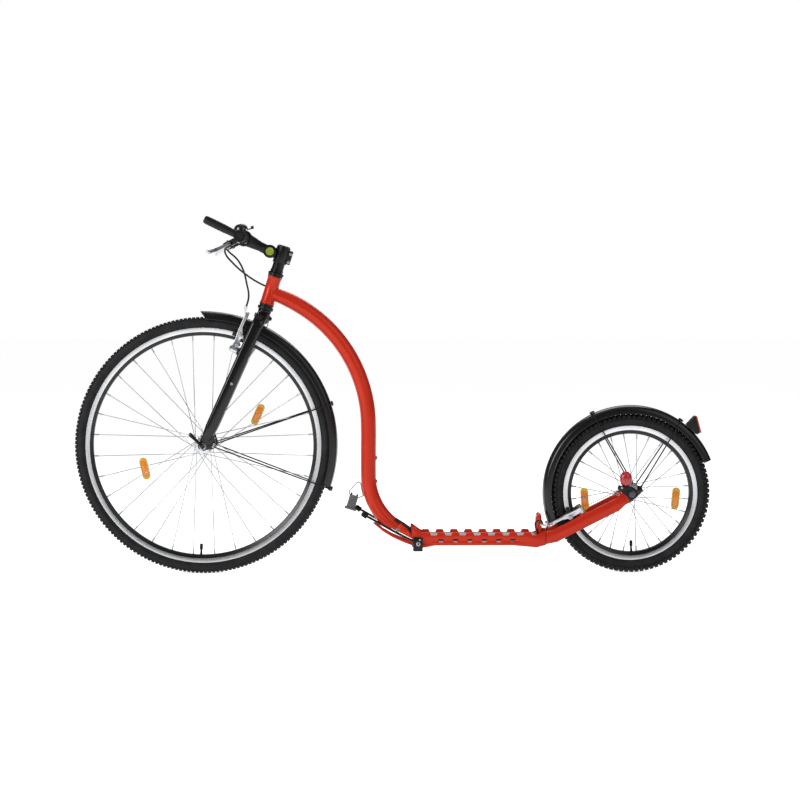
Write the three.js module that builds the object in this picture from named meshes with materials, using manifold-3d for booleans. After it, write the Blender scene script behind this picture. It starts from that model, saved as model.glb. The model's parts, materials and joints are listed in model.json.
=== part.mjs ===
// Kick bike: a large front wheel, a bent single tube, a low deck and a small rear wheel.
// Millimetres, +X towards the rear, +Y to the rider's right, +Z up.
// The bike stands on its tyres at z = 0, centred lengthwise, steering straight and stand folded.

import * as THREE from "three";
import { mergeVertices } from "three/addons/utils/BufferGeometryUtils.js";
import Module from "manifold-3d";

const wasm = await Module();
wasm.setup();

// Clearances
const gap = 0.3;
const overrun = 6;

// Driving dimensions
const wheelbase = 1158;
const frontTyreRadius = 348;
const rearTyreRadius = 217.5;
const steeringTilt = THREE.MathUtils.degToRad(17);
const forkLegTilt = THREE.MathUtils.degToRad(24.3);
const rearArmTilt = THREE.MathUtils.degToRad(26.6);
const barHalfWidth = 300;
const mainTubeRadius = 20.5;
const mainArcRadius = 380;
const mainArcStart = THREE.MathUtils.degToRad(69.3);
const mainArcX = 66.4;
const mainArcZ = 398.3;
const lowerBendRadius = 168;
const lowerBendZ = 264;
const lowerBendTurn = THREE.MathUtils.degToRad(57);
const deckHeight = 106;
const deckFrontX = 566;
const deckRearX = 926;
const deckHalfWidth = 55;

// Surface finishes, one new material for each piece
function finish(colour, roughness, metalness) {
  return new THREE.MeshStandardMaterial({ color: colour, roughness, metalness });
}
const redPaint = () => finish(0xc8321e, 0.3, 0.2);
const blackPaint = () => finish(0x141414, 0.45, 0.3);
const blackPlastic = () => finish(0x1a1a1a, 0.55, 0);
const blackRubber = () => finish(0x1c1c1c, 0.85, 0);
const tyreRubber = () => finish(0x202020, 0.9, 0);
const silverMetal = () => finish(0xb8bcc0, 0.3, 0.9);
const zincSteel = () => finish(0x9a9ea2, 0.4, 0.9);
const limePlastic = () => finish(0xa9c62a, 0.4, 0);
const redLens = () => finish(0xb0121a, 0.15, 0);
const greyRubber = () => finish(0x777b80, 0.8, 0);

// Shape helpers
const at = (x, y, z) => new THREE.Vector3(x, y, z);

function polar(radius, angle) {
  return new THREE.Vector2(radius * Math.cos(angle), radius * Math.sin(angle));
}

function ringOutline(radius, sides) {
  const points = [];
  for (let side = 0; side < sides; side++) {
    points.push(polar(radius, (2 * Math.PI * (side + 0.5)) / sides));
  }
  return points;
}

function roundedOutline(halfWidth, halfHeight, corner, cornerSteps = 2) {
  const points = [];
  const quarter = Math.PI / 2;
  const signs = [[1, 1], [-1, 1], [-1, -1], [1, -1]];
  signs.forEach(([signX, signY], number) => {
    for (let step = 0; step <= cornerSteps; step++) {
      const bend = polar(corner, quarter * (number + step / cornerSteps));
      bend.x += signX * (halfWidth - corner);
      bend.y += signY * (halfHeight - corner);
      points.push(bend);
    }
  });
  return points;
}

// One closed surface: shared vertices are merged, empty triangles dropped and faces point out.
function closed(geometry) {
  const bare = geometry.index ? geometry.toNonIndexed() : geometry.clone();
  const extras = Object.keys(bare.attributes).filter((name) => name !== "position");
  extras.forEach((name) => bare.deleteAttribute(name));
  const merged = mergeVertices(bare);
  const index = merged.index.array;
  const place = merged.attributes.position;
  const kept = [];
  let volume = 0;
  const corners = [at(0, 0, 0), at(0, 0, 0), at(0, 0, 0)];
  for (let first = 0; first < index.length; first += 3) {
    const [a, b, c] = [index[first], index[first + 1], index[first + 2]];
    if (a === b || b === c || c === a) {
      continue;
    }
    corners[0].fromBufferAttribute(place, a);
    corners[1].fromBufferAttribute(place, b);
    corners[2].fromBufferAttribute(place, c);
    volume += corners[0].dot(corners[1].cross(corners[2]));
    kept.push(a, b, c);
  }
  if (volume < 0) {
    kept.reverse();
  }
  merged.setIndex(kept);
  merged.computeVertexNormals();
  return merged;
}

function solidOf(geometry) {
  const merged = closed(geometry);
  const mesh = new wasm.Mesh({
    numProp: 3,
    vertProperties: new Float32Array(merged.attributes.position.array),
    triVerts: new Uint32Array(merged.index.array),
  });
  return new wasm.Manifold(mesh);
}

function geometryOf(solid) {
  const mesh = solid.getMesh();
  const geometry = new THREE.BufferGeometry();
  geometry.setAttribute("position", new THREE.BufferAttribute(mesh.vertProperties, 3));
  geometry.setIndex(new THREE.BufferAttribute(mesh.triVerts, 1));
  geometry.computeVertexNormals();
  return geometry;
}

function joined(...pieces) {
  return geometryOf(pieces.map(solidOf).reduce((sum, piece) => sum.add(piece)));
}

function cut(body, ...tools) {
  return geometryOf(tools.map(solidOf).reduce((rest, tool) => rest.subtract(tool), solidOf(body)));
}

// Carries a flat outline through a row of places, and closes both ends.
function sweep(outline, places) {
  const sides = outline.length;
  const positions = places.flatMap((place) => outline.flatMap((point) => place(point.x, point.y).toArray()));
  const index = [];
  for (let ring = 0; ring + 1 < places.length; ring++) {
    for (let side = 0; side < sides; side++) {
      const a = ring * sides + side;
      const b = ring * sides + ((side + 1) % sides);
      index.push(a, b, a + sides, b, b + sides, a + sides);
    }
  }
  const last = (places.length - 1) * sides;
  const turn = THREE.ShapeUtils.area(outline);
  for (const corners of THREE.ShapeUtils.triangulateShape(outline, [])) {
    const facet = corners.map((corner) => outline[corner]);
    const [a, b, c] = THREE.ShapeUtils.area(facet) * turn > 0 ? corners : [...corners].reverse();
    index.push(c, b, a, last + a, last + b, last + c);
  }
  const geometry = new THREE.BufferGeometry();
  geometry.setAttribute("position", new THREE.Float32BufferAttribute(positions, 3));
  geometry.setIndex(index);
  return closed(geometry);
}

function tube(curve, radius, sides, steps) {
  const section = new THREE.Shape(ringOutline(radius, sides));
  const options = { steps, extrudePath: curve, bevelEnabled: false };
  return closed(new THREE.ExtrudeGeometry(section, options));
}

function smoothTube(points, radius, sides, steps) {
  return tube(new THREE.CatmullRomCurve3(points, false, "centripetal"), radius, sides, steps);
}

// A straight round bar from one point to another, or a cone where the two radii differ
function rod(from, to, radius, sides = 16, endRadius = radius) {
  const along = to.clone().sub(from);
  const geometry = new THREE.CylinderGeometry(endRadius, radius, along.length(), sides);
  const turn = new THREE.Quaternion().setFromUnitVectors(at(0, 1, 0), along.clone().normalize());
  geometry.applyQuaternion(turn);
  const middle = from.clone().add(to).multiplyScalar(0.5);
  geometry.translate(middle.x, middle.y, middle.z);
  return closed(geometry);
}

function ball(centre, radius, sides = 12) {
  const geometry = new THREE.SphereGeometry(radius, sides, Math.round(sides * 0.6));
  geometry.translate(centre.x, centre.y, centre.z);
  return closed(geometry);
}

// A body of revolution about Y; the outline lists [radius, y] pairs
function revolve(outline, segments) {
  const points = outline.map(([radius, y]) => new THREE.Vector2(radius, y));
  return closed(new THREE.LatheGeometry(points, segments));
}

// The same about Z; the outline lists [radius, z] pairs
function revolveUpright(outline, segments) {
  return closed(revolve(outline, segments).rotateX(Math.PI / 2));
}

function block(minX, maxX, minY, maxY, minZ, maxZ) {
  const geometry = new THREE.BoxGeometry(maxX - minX, maxY - minY, maxZ - minZ);
  geometry.translate((minX + maxX) / 2, (minY + maxY) / 2, (minZ + maxZ) / 2);
  return closed(geometry);
}

// A plate standing lengthwise: the shape's y is height, and its thickness lies across the bike
function sidePlate(shape, minY, maxY, curveSegments = 6) {
  const options = { depth: maxY - minY, bevelEnabled: false, curveSegments };
  const geometry = new THREE.ExtrudeGeometry(shape, options);
  geometry.rotateX(Math.PI / 2);
  geometry.translate(0, maxY, 0);
  return closed(geometry);
}

function add(parent, name, geometry, material) {
  const mesh = new THREE.Mesh(geometry, material);
  mesh.name = name;
  parent.add(mesh);
  return mesh;
}

function groupAt(parent, x, z, tilt = 0) {
  const group = new THREE.Group();
  group.position.set(x, 0, z);
  group.rotation.y = tilt;
  parent.add(group);
  return group;
}

const sides = [["left", -1], ["right", 1]];
const bike = new THREE.Group();

// Wheels
const axle = {
  radius: 4.6, dropoutInner: 50, dropoutWidth: 6, lockNutRadius: 9, capRadius: 10, capWidth: 9,
};
const wheelValues = {
  front: {
    tyreRadius: frontTyreRadius, tyreHalfWidth: 19, tread: 3.5,
    rimRadius: 319, rimInner: 297, rimHalfWidth: 12,
    spokes: 32, crossing: 3, flangeRadius: 25, flangeY: 29, barrelRadius: 15,
  },
  rear: {
    tyreRadius: rearTyreRadius, tyreHalfWidth: 20, tread: 4,
    rimRadius: 183, rimInner: 160, rimHalfWidth: 13,
    spokes: 28, crossing: 2, flangeRadius: 22, flangeY: 29, barrelRadius: 14,
  },
};
const rimWall = 2.4;
const rimWell = 10;
const rimChamfer = 4;
const beadDepth = 5;
const carcass = 3;
const spokeRadius = 1.1;
const spokeSides = 3;
const flangeHalf = 1.8;
const spokeStagger = 2.2;
const hubEndY = 36;
const rearAxleExtra = 2;

function spokeLines(wheel) {
  const lines = [];
  const holeStep = (4 * Math.PI) / wheel.spokes;
  for (let number = 0; number < wheel.spokes; number++) {
    const side = number % 2 === 0 ? -1 : 1;
    const lead = number % 4 < 2 ? 1 : -1;
    const rimAngle = (2 * Math.PI * (number + 0.5)) / wheel.spokes;
    const hubPoint = polar(wheel.flangeRadius - 2 * flangeHalf, rimAngle + lead * wheel.crossing * holeStep);
    const rimPoint = polar(wheel.rimInner * Math.cos(Math.PI / wheel.spokes) - gap, rimAngle);
    lines.push([
      at(hubPoint.x, side * wheel.flangeY + lead * spokeStagger, hubPoint.y),
      at(rimPoint.x, side * spokeRadius, rimPoint.y),
    ]);
  }
  return lines;
}

function rimGeometry(wheel) {
  const { rimRadius, rimInner, rimHalfWidth, spokes } = wheel;
  const bed = rimRadius - rimWell;
  const channel = rimHalfWidth - rimWall;
  return revolve([
    [rimInner, rimChamfer - rimHalfWidth],
    [rimInner + rimChamfer, -rimHalfWidth],
    [rimRadius, -rimHalfWidth],
    [rimRadius, -channel],
    [bed, -channel],
    [bed, channel],
    [rimRadius, channel],
    [rimRadius, rimHalfWidth],
    [rimInner + rimChamfer, rimHalfWidth],
    [rimInner, rimHalfWidth - rimChamfer],
    [rimInner, rimChamfer - rimHalfWidth],
  ], spokes);
}

function tyreGeometry(wheel) {
  const { tyreRadius, tyreHalfWidth, rimRadius, rimHalfWidth, spokes, tread } = wheel;
  const bead = rimHalfWidth - rimWall - gap;
  const depth = tyreRadius - rimRadius;
  const shoulderShares = [[0.42, 1], [0.86, 0.76]];
  const outer = [[rimRadius - beadDepth, bead], [rimRadius + gap, bead]];
  for (const [depthShare, widthShare] of shoulderShares) {
    outer.push([rimRadius + depthShare * depth, widthShare * tyreHalfWidth]);
  }
  outer.push([tyreRadius, 0]);
  const inner = [[rimRadius - beadDepth, bead - carcass], [tyreRadius - tread - carcass, bead - carcass]];
  const half = (points) => points.map(([radius, y]) => [radius, -y]);
  const outline = [...half(outer), ...outer.slice(0, -1).reverse()];
  outline.push(...inner, ...half(inner).reverse(), outline[0]);
  return revolve(outline, spokes);
}

function hubGeometry(wheel) {
  const { flangeRadius, flangeY, barrelRadius } = wheel;
  const bore = axle.radius + gap;
  const half = [
    [barrelRadius, flangeY - 2 * flangeHalf], [flangeRadius, flangeY - flangeHalf],
    [flangeRadius, flangeY + flangeHalf], [barrelRadius, flangeY + flangeHalf], [barrelRadius, hubEndY],
  ];
  const mirrored = half.map(([radius, y]) => [radius, -y]).reverse();
  const shell = revolve([[bore, -hubEndY], ...mirrored, ...half, [bore, hubEndY], [bore, -hubEndY]], 14);
  const spokes = spokeLines(wheel).map(([from, to]) => rod(from, to, spokeRadius, spokeSides));
  return joined(shell, ...spokes);
}

function axleGeometry(nearExtra) {
  const outside = axle.dropoutInner + axle.dropoutWidth + gap;
  const end = outside + axle.capWidth;
  const { radius, lockNutRadius, capRadius } = axle;
  return revolve([
    [0, -end - nearExtra], [capRadius, -end - nearExtra], [capRadius, -outside],
    [radius, -outside], [radius, -axle.dropoutInner + gap], [lockNutRadius, -axle.dropoutInner + gap],
    [lockNutRadius, -hubEndY - gap], [radius, -hubEndY - gap], [radius, hubEndY + gap],
    [lockNutRadius, hubEndY + gap], [lockNutRadius, axle.dropoutInner - gap],
    [radius, axle.dropoutInner - gap], [radius, outside], [capRadius, outside], [capRadius, end], [0, end],
  ], 12);
}

function addWheel(end, hubX) {
  const wheel = wheelValues[end];
  const group = groupAt(bike, hubX, wheel.tyreRadius);
  add(group, `${end}_tyre`, tyreGeometry(wheel), tyreRubber());
  add(group, `${end}_rim`, rimGeometry(wheel), silverMetal());
  add(group, `${end}_hub_and_spokes`, hubGeometry(wheel), silverMetal());
  add(group, `${end}_axle`, axleGeometry(end === "front" ? 0 : rearAxleExtra), zincSteel());
}
addWheel("front", 0);
addWheel("rear", wheelbase);

// Steering axis: its group's origin is the middle of the fork crown, its Z runs up the steerer
const crownZ = 683.6;
const crownX = 157.4;
const steering = groupAt(bike, crownX, crownZ, steeringTilt);
const headStock = groupAt(bike, crownX, crownZ, steeringTilt);

// Heights along the steering axis, from the crown
const crownTop = 26;
const lowerCupTop = 48.5;
const headTubeTop = 125.8;
const upperCupTop = 138.5;
const spacerTop = 163.3;
const stemTop = 209.5;
const steererTop = 207;
const steererRadius = 14.3;
const headTubeRadius = 18.25;
const headTubeBore = 15.4;
const lowerCupRadius = 21.5;
const upperCupRadius = 19;
const spacerRadius = 15.6;
const stemClampRadius = 19;

// Head tube and headset
const lug = 1.2;
const lugHeight = 6;
const cupInset = 2;
const cupFoot = 3;
const cupNeck = 8;
const upperCupSkirt = 5;
add(headStock, "head_tube", revolveUpright([
  [headTubeBore, lowerCupTop + gap], [headTubeRadius + lug, lowerCupTop + gap],
  [headTubeRadius + lug, lowerCupTop + lugHeight], [headTubeRadius, lowerCupTop + lugHeight + lug],
  [headTubeRadius, headTubeTop - lugHeight - lug], [headTubeRadius + lug, headTubeTop - lugHeight],
  [headTubeRadius + lug, headTubeTop - gap], [headTubeBore, headTubeTop - gap],
  [headTubeBore, lowerCupTop + gap],
], 18), redPaint());
add(headStock, "headset_lower_cup", revolveUpright([
  [steererRadius + 2 * gap, crownTop + gap], [lowerCupRadius - cupInset, crownTop + gap],
  [lowerCupRadius, crownTop + cupFoot], [lowerCupRadius, lowerCupTop - cupNeck],
  [lowerCupRadius - cupInset, lowerCupTop],
  [steererRadius + 2 * gap, lowerCupTop], [steererRadius + 2 * gap, crownTop + gap],
], 18), blackPaint());
add(headStock, "headset_upper_cup", revolveUpright([
  [steererRadius + 2 * gap, headTubeTop], [upperCupRadius + lug, headTubeTop],
  [upperCupRadius + lug, headTubeTop + upperCupSkirt], [upperCupRadius - cupInset, upperCupTop - gap],
  [steererRadius + 2 * gap, upperCupTop - gap], [steererRadius + 2 * gap, headTubeTop],
], 18), blackPaint());

// Fork: steerer and crown in one, two bent legs that end in dropouts
const crownHalfWidth = 18;
const crownHalfDepth = 17;
const crownBottom = -4;
const crownBoltZ = 13;
const crownCorner = 8;
const crownFoot = 5;
const crownCollar = 8;
const crownFootShare = 0.8;
const tabThickness = 2;
const boltNutWidth = 4;
const boltNutRadius = 6;
const legY = 53;
const legHalfDepth = 16;
const legHalfWidth = 10.5;
const legBend = 30;
const shoulderAlong = 11;
const legBottom = 24;
const mudguardBoltRadius = 3;
const mudguardBoltReach = 8;
const crownBody = sweep(roundedOutline(crownHalfDepth, crownHalfWidth, crownCorner), [
  (x, y) => at(x * crownFootShare, y, crownBottom),
  (x, y) => at(x, y, crownBottom + crownFoot),
  (x, y) => at(x, y, crownTop - crownCollar),
  (x, y) => at(x, y, crownTop),
]);
const steerer = rod(at(0, 0, crownTop - overrun), at(0, 0, steererTop), steererRadius, 18);
const mudguardBolt = rod(
  at(-crownHalfDepth - mudguardBoltReach / 2, 0, crownBoltZ),
  at(crownHalfDepth + mudguardBoltReach, 0, crownBoltZ), mudguardBoltRadius, 8);
const nutX = crownHalfDepth + 2 * gap + tabThickness;
const boltNut = rod(at(nutX, 0, crownBoltZ), at(nutX + boltNutWidth, 0, crownBoltZ), boltNutRadius, 6);
add(steering, "fork_crown_and_steerer", joined(crownBody, steerer, mudguardBolt, boltNut), blackPaint());

// The fork leg group's origin is the front hub, its Z runs up the straight legs
const forkLegs = groupAt(bike, 0, frontTyreRadius, forkLegTilt);
const crownAlongLeg = crownX * Math.sin(forkLegTilt) + (crownZ - frontTyreRadius) * Math.cos(forkLegTilt);
const slotHalf = axle.radius + gap;
const dropoutHalf = 13;
const postY = 40;
const postRadius = 4;
const frontPostHeight = 271;
const postStart = 20;
const frontPostEnd = 41;
const eyeletX = 26;
const eyeletLow = 11;
const eyeletHigh = 18;
const eyeletWall = 4;
const eyeletFoot = 5;
const legCorner = 6;
const legLap = 6;
const legTaperLow = 10;
const legTaperHigh = 34;
const legTipShare = 0.62;
const legTaperShare = 0.86;
const dropoutRise = 16;
const postBossHalf = 9;
const postBossLap = 4;
const postSink = 1;

function forkLeg(side) {
  const bendStart = crownAlongLeg + shoulderAlong - legBend;
  const places = [
    [legTipShare, legBottom - legLap], [legTaperShare, legBottom + legTaperLow],
    [1, legBottom + legTaperHigh], [1, bendStart],
  ].map(([share, height]) => (depth, out) => at(depth * share, side * (legY + out * share), height));
  const bendCentre = legY - legBend;
  const steps = 5;
  for (let step = 1; step <= steps; step++) {
    const turn = (Math.PI / 2) * (step / steps);
    places.push((depth, out) => at(
      depth,
      side * (bendCentre + (legBend + out) * Math.cos(turn)),
      bendStart + (legBend + out) * Math.sin(turn),
    ));
  }
  places.push((depth, out) => at(depth, side * (crownHalfWidth + gap), bendStart + legBend + out));
  const leg = sweep(roundedOutline(legHalfDepth, legHalfWidth, legCorner), places);
  const plate = new THREE.Shape();
  plate.moveTo(-dropoutHalf, legBottom + dropoutRise);
  plate.lineTo(-dropoutHalf, -slotHalf);
  plate.lineTo(-slotHalf, -dropoutHalf);
  plate.lineTo(-slotHalf, 0);
  plate.absarc(0, 0, slotHalf, Math.PI, 0, true);
  plate.lineTo(slotHalf, -dropoutHalf);
  plate.lineTo(dropoutHalf, -slotHalf);
  plate.lineTo(eyeletX + eyeletWall, eyeletLow - eyeletFoot);
  plate.lineTo(eyeletX + eyeletWall, eyeletHigh + eyeletWall);
  plate.lineTo(dropoutHalf, legBottom + dropoutRise);
  plate.closePath();
  const inner = axle.dropoutInner;
  const outer = inner + axle.dropoutWidth;
  const dropout = sidePlate(plate, side > 0 ? inner : -outer, side > 0 ? outer : -inner);
  const bossDepth = -legHalfDepth + postBossLap;
  const minY = side > 0 ? postY - postRadius : -legY;
  const maxY = side > 0 ? legY : -postY + postRadius;
  const boss = block(
    -postStart, bossDepth, minY, maxY, frontPostHeight - postBossHalf, frontPostHeight + postBossHalf);
  const post = rod(
    at(-postStart + postSink, side * postY, frontPostHeight),
    at(-frontPostEnd, side * postY, frontPostHeight), postRadius, 12);
  return joined(leg, dropout, boss, post);
}
for (const [name, side] of sides) {
  add(forkLegs, `fork_leg_${name}`, forkLeg(side), blackPaint());
}

// Quick release lever, closed along the near side of the front hub
const releaseTurn = THREE.MathUtils.degToRad(45);
const releaseBoss = 6;
const releaseHalf = 5;
const releaseLength = 50;
const releaseY = -(axle.dropoutInner + axle.dropoutWidth + axle.capWidth + releaseBoss + 2 * gap);
const release = groupAt(bike, 0, frontTyreRadius, releaseTurn);
const releaseCornerShare = 0.4;
const releaseShares = [[0, 0, 0.4, 1], [0.5, 0.04, 0.36, 0.8], [0.85, 0.1, 0.4, 1.1], [1, 0.14, 0.3, 0.8]];
const releaseBlade = sweep(roundedOutline(1, 1, releaseCornerShare, 1), releaseShares.map(
  ([along, inward, thick, wide]) => (y, z) => at(
    -along * releaseLength, releaseY + inward * releaseLength + y * thick * releaseHalf,
    z * wide * releaseHalf)));
add(release, "front_quick_release_lever", joined(
  rod(at(0, releaseY, -releaseHalf), at(0, releaseY, releaseHalf), releaseBoss, 14), releaseBlade,
), blackPaint());

// Stem: a clamp on the steerer, a rising arm on a cross bolt and a faceplate round the bar
const barX = 110;
const barZ = 908;
const pivotAlong = 187.4;
const pivotForward = 33.1;
const tongueHalf = 11;
const cheekWidth = 8;
const bossRadius = 18;
const pivotRadius = 4;
const stemClampBottom = spacerTop + gap;
const lugReach = 9;
const lugHalf = 9;
const lugLow = 3;
const lugHigh = 5;
const stemSlotHalf = 1;
const tongueInset = 2;
const tongueHigh = 14;
const stemBase = cut(
  joined(
    rod(at(0, 0, stemClampBottom), at(0, 0, stemTop), stemClampRadius, 18),
    rod(
      at(-pivotForward, -tongueHalf, pivotAlong), at(-pivotForward, tongueHalf, pivotAlong),
      bossRadius - tongueInset, 18),
    block(-pivotForward, 0, -tongueHalf, tongueHalf, pivotAlong - tongueHigh, pivotAlong + tongueHigh),
    block(0, stemClampRadius + lugReach, -lugHalf, lugHalf, stemClampBottom + lugLow, stemTop - lugHigh),
  ),
  rod(at(0, 0, stemClampBottom - overrun), at(0, 0, stemTop + overrun), steererRadius + gap, 18),
  rod(
    at(-pivotForward, -tongueHalf - overrun, pivotAlong),
    at(-pivotForward, tongueHalf + overrun, pivotAlong),
    pivotRadius + gap, 12),
  block(
    steererRadius, stemClampRadius + lugReach + overrun, -stemSlotHalf, stemSlotHalf,
    stemClampBottom - overrun, stemTop + overrun),
);
add(steering, "stem_base", stemBase, blackPaint());
const spacerFlare = 2;
const spacerFlareHeight = 8;
add(steering, "spacers", revolveUpright([
  [steererRadius + gap, upperCupTop], [spacerRadius + spacerFlare, upperCupTop],
  [spacerRadius, upperCupTop + spacerFlareHeight], [spacerRadius, spacerTop],
  [steererRadius + gap, spacerTop], [steererRadius + gap, upperCupTop],
], 18), blackPaint());
const topCapThickness = 4;
const topCapInset = 2;
const topCapChamfer = 1;
add(steering, "top_cap", revolveUpright([
  [0, stemTop + gap], [stemClampRadius - topCapInset, stemTop + gap],
  [stemClampRadius - topCapInset, stemTop + topCapThickness - topCapChamfer],
  [stemClampRadius - 2 * topCapInset, stemTop + topCapThickness], [0, stemTop + topCapThickness],
], 20), blackPaint());

const pivotX = crownX - pivotForward * Math.cos(steeringTilt) + pivotAlong * Math.sin(steeringTilt);
const pivotZ = crownZ + pivotForward * Math.sin(steeringTilt) + pivotAlong * Math.cos(steeringTilt);
const armRise = Math.atan2(barZ - pivotZ, pivotX - barX);
const armLength = Math.hypot(barZ - pivotZ, pivotX - barX);
const stem = groupAt(bike, pivotX, pivotZ, armRise);
const barClampRadius = 15.9;
const barRadius = 12.7;
const clampOuter = 22.5;
const clampHalfWidth = 21;
const splitGap = 1.5;
const armBeamHalf = 13;
const armBeamCorner = 5;
const armHeadShare = 0.4;
const armHeadSwellShare = 1.05;
const armThroatShare = 1.6;
const armFootShare = 0.6;
const armFootWideShare = 1.05;
const armFootHighShare = 1.35;
const stemRoom = 40;
const cheekOuter = tongueHalf + gap + cheekWidth;
const pinHole = rod(at(0, -cheekOuter - overrun, 0), at(0, cheekOuter + overrun, 0), pivotRadius + gap, 12);
const barHole = rod(
  at(-armLength, -clampHalfWidth - overrun, 0), at(-armLength, clampHalfWidth + overrun, 0),
  barClampRadius + gap, 18);
const clampBody = rod(at(-armLength, -clampHalfWidth, 0), at(-armLength, clampHalfWidth, 0), clampOuter, 18);
const armBeam = sweep(roundedOutline(cheekOuter, armBeamHalf, armBeamCorner), [
  (y, z) => at(-bossRadius * armHeadShare, y, z * armHeadSwellShare),
  (y, z) => at(-bossRadius * armThroatShare, y, z),
  (y, z) => at(-armLength + clampOuter * armFootShare, y * armFootWideShare, z * armFootHighShare),
]);
const tongueRoom = block(
  -bossRadius - tongueInset, bossRadius + overrun, -tongueHalf - gap, tongueHalf + gap, -stemRoom, stemRoom);
const frontHalf = block(
  -armLength - clampOuter - overrun, -armLength + splitGap / 2, -stemRoom, stemRoom, -stemRoom, stemRoom);
const rearHalf = block(
  -armLength - splitGap / 2, -armLength + clampOuter + overrun,
  -stemRoom, stemRoom, -stemRoom, stemRoom);
add(stem, "stem_arm", cut(
  joined(armBeam, clampBody, rod(at(0, -cheekOuter, 0), at(0, cheekOuter, 0), bossRadius, 18)),
  tongueRoom, frontHalf, barHole, pinHole,
), blackPaint());
add(stem, "stem_faceplate", cut(clampBody, rearHalf, barHole), blackPaint());
const capRadius = 11.7;
const capWidth = 3;
const capRim = 2;
const capChamfer = 1;
add(stem, "stem_pivot_bolt", revolve([
  [0, -cheekOuter - gap - capWidth], [capRadius - capChamfer, -cheekOuter - gap - capWidth],
  [capRadius, -cheekOuter - gap - capRim], [capRadius, -cheekOuter - gap], [pivotRadius, -cheekOuter - gap],
  [pivotRadius, cheekOuter + gap], [capRadius, cheekOuter + gap], [capRadius, cheekOuter + gap + capRim],
  [capRadius - capChamfer, cheekOuter + gap + capWidth], [0, cheekOuter + gap + capWidth],
], 20), limePlastic());

// Handlebar with grips, bar ends, brake perches, levers and the bell
const cockpit = groupAt(bike, barX, barZ);
const barWall = 2.4;
const swellHalf = 30;
const swellEnd = 55;
add(cockpit, "handlebar", revolve([
  [barRadius - barWall, -barHalfWidth], [barRadius, -barHalfWidth], [barRadius, -swellEnd],
  [barClampRadius, -swellHalf], [barClampRadius, swellHalf], [barRadius, swellEnd],
  [barRadius, barHalfWidth], [barRadius - barWall, barHalfWidth], [barRadius - barWall, -barHalfWidth],
], 18), blackPaint());

const barEndWidth = 22;
const barEndInner = barHalfWidth - barEndWidth;
const barEndReach = 103;
const barEndRise = THREE.MathUtils.degToRad(26);
const barEndRadius = 11;
const gripInner = 150;
const gripRadius = 15.8;
const gripLip = 3;
const gripLipWidth = 4;
const gripLipEnd = 7;
const gripWaist = 1.2;
const gripWaistInner = 40;
const gripWaistOuter = 30;
const hornRootRadius = 9;
const hornNeckRadius = 9.5;
const hornNeck = 24;
const hornSwell = 40;
const hornTip = 5;
const hornTipRound = 3;
function gripGeometry(side) {
  const bore = barRadius + gap;
  const outer = barEndInner - gap;
  return revolve([
    [bore, gripInner], [gripRadius + gripLip, gripInner], [gripRadius + gripLip, gripInner + gripLipWidth],
    [gripRadius, gripInner + gripLipEnd], [gripRadius - gripWaist, gripInner + gripWaistInner],
    [gripRadius, (gripInner + outer) / 2], [gripRadius - gripWaist, outer - gripWaistOuter],
    [gripRadius, outer], [bore, outer], [bore, gripInner],
  ].map(([radius, y]) => [radius, side * y]), 16);
}
function barEndGeometry(side) {
  const middle = side * (barHalfWidth - barEndWidth / 2);
  const clamp = rod(at(0, side * barEndInner, 0), at(0, side * barHalfWidth, 0), gripRadius, 20);
  const horn = sweep(ringOutline(1, 12), [
    [0, hornRootRadius], [-hornNeck, hornNeckRadius], [-hornSwell, barEndRadius],
    [-barEndReach + hornTip, barEndRadius], [-barEndReach, barEndRadius - hornTipRound],
  ].map(([x, radius]) => (u, v) => at(x, middle + u * radius, v * radius)));
  horn.rotateY(barEndRise);
  const bore = rod(
    at(0, side * (barEndInner - overrun), 0), at(0, side * (barHalfWidth + overrun), 0),
    barRadius + gap, 20);
  return cut(joined(clamp, horn), bore);
}

// The lever frames turn about the bar: local -X points forward and down, where the levers lie
const leverDrop = THREE.MathUtils.degToRad(-26);
const levers = groupAt(bike, barX, barZ, leverDrop);
const perchInner = 128;
const perchWidth = 15;
const perchRadius = 17;
const leverPivotX = -40;
const leverPivotY = 124;
const leverTipX = -93;
const leverTipY = 246;
const leverHalf = 4.5;
const leverPinRadius = 3;
const barrelRadius = 4.5;
const barrelX = -50;
const barrelEnd = 78;
const barrelWall = 4;
const barrelSink = 14;
const perchArmStart = 12;
const perchArmBack = 14;
const perchWingHalf = 9;
const perchWingBack = 12;
const perchPlate = 3;
const perchLap = 1;
const pinReach = 4.5;
const leverBallRadius = 5.6;
const leverShares = [
  [-0.075, -0.041], [0.132, -0.041], [0.774, 0.049], [0.925, 0.279], [1.019, 0.508], [1.057, 1],
  [0.925, 1], [0.811, 0.492], [0.717, 0.279], [0.434, 0.131], [-0.113, 0.066],
];
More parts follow.
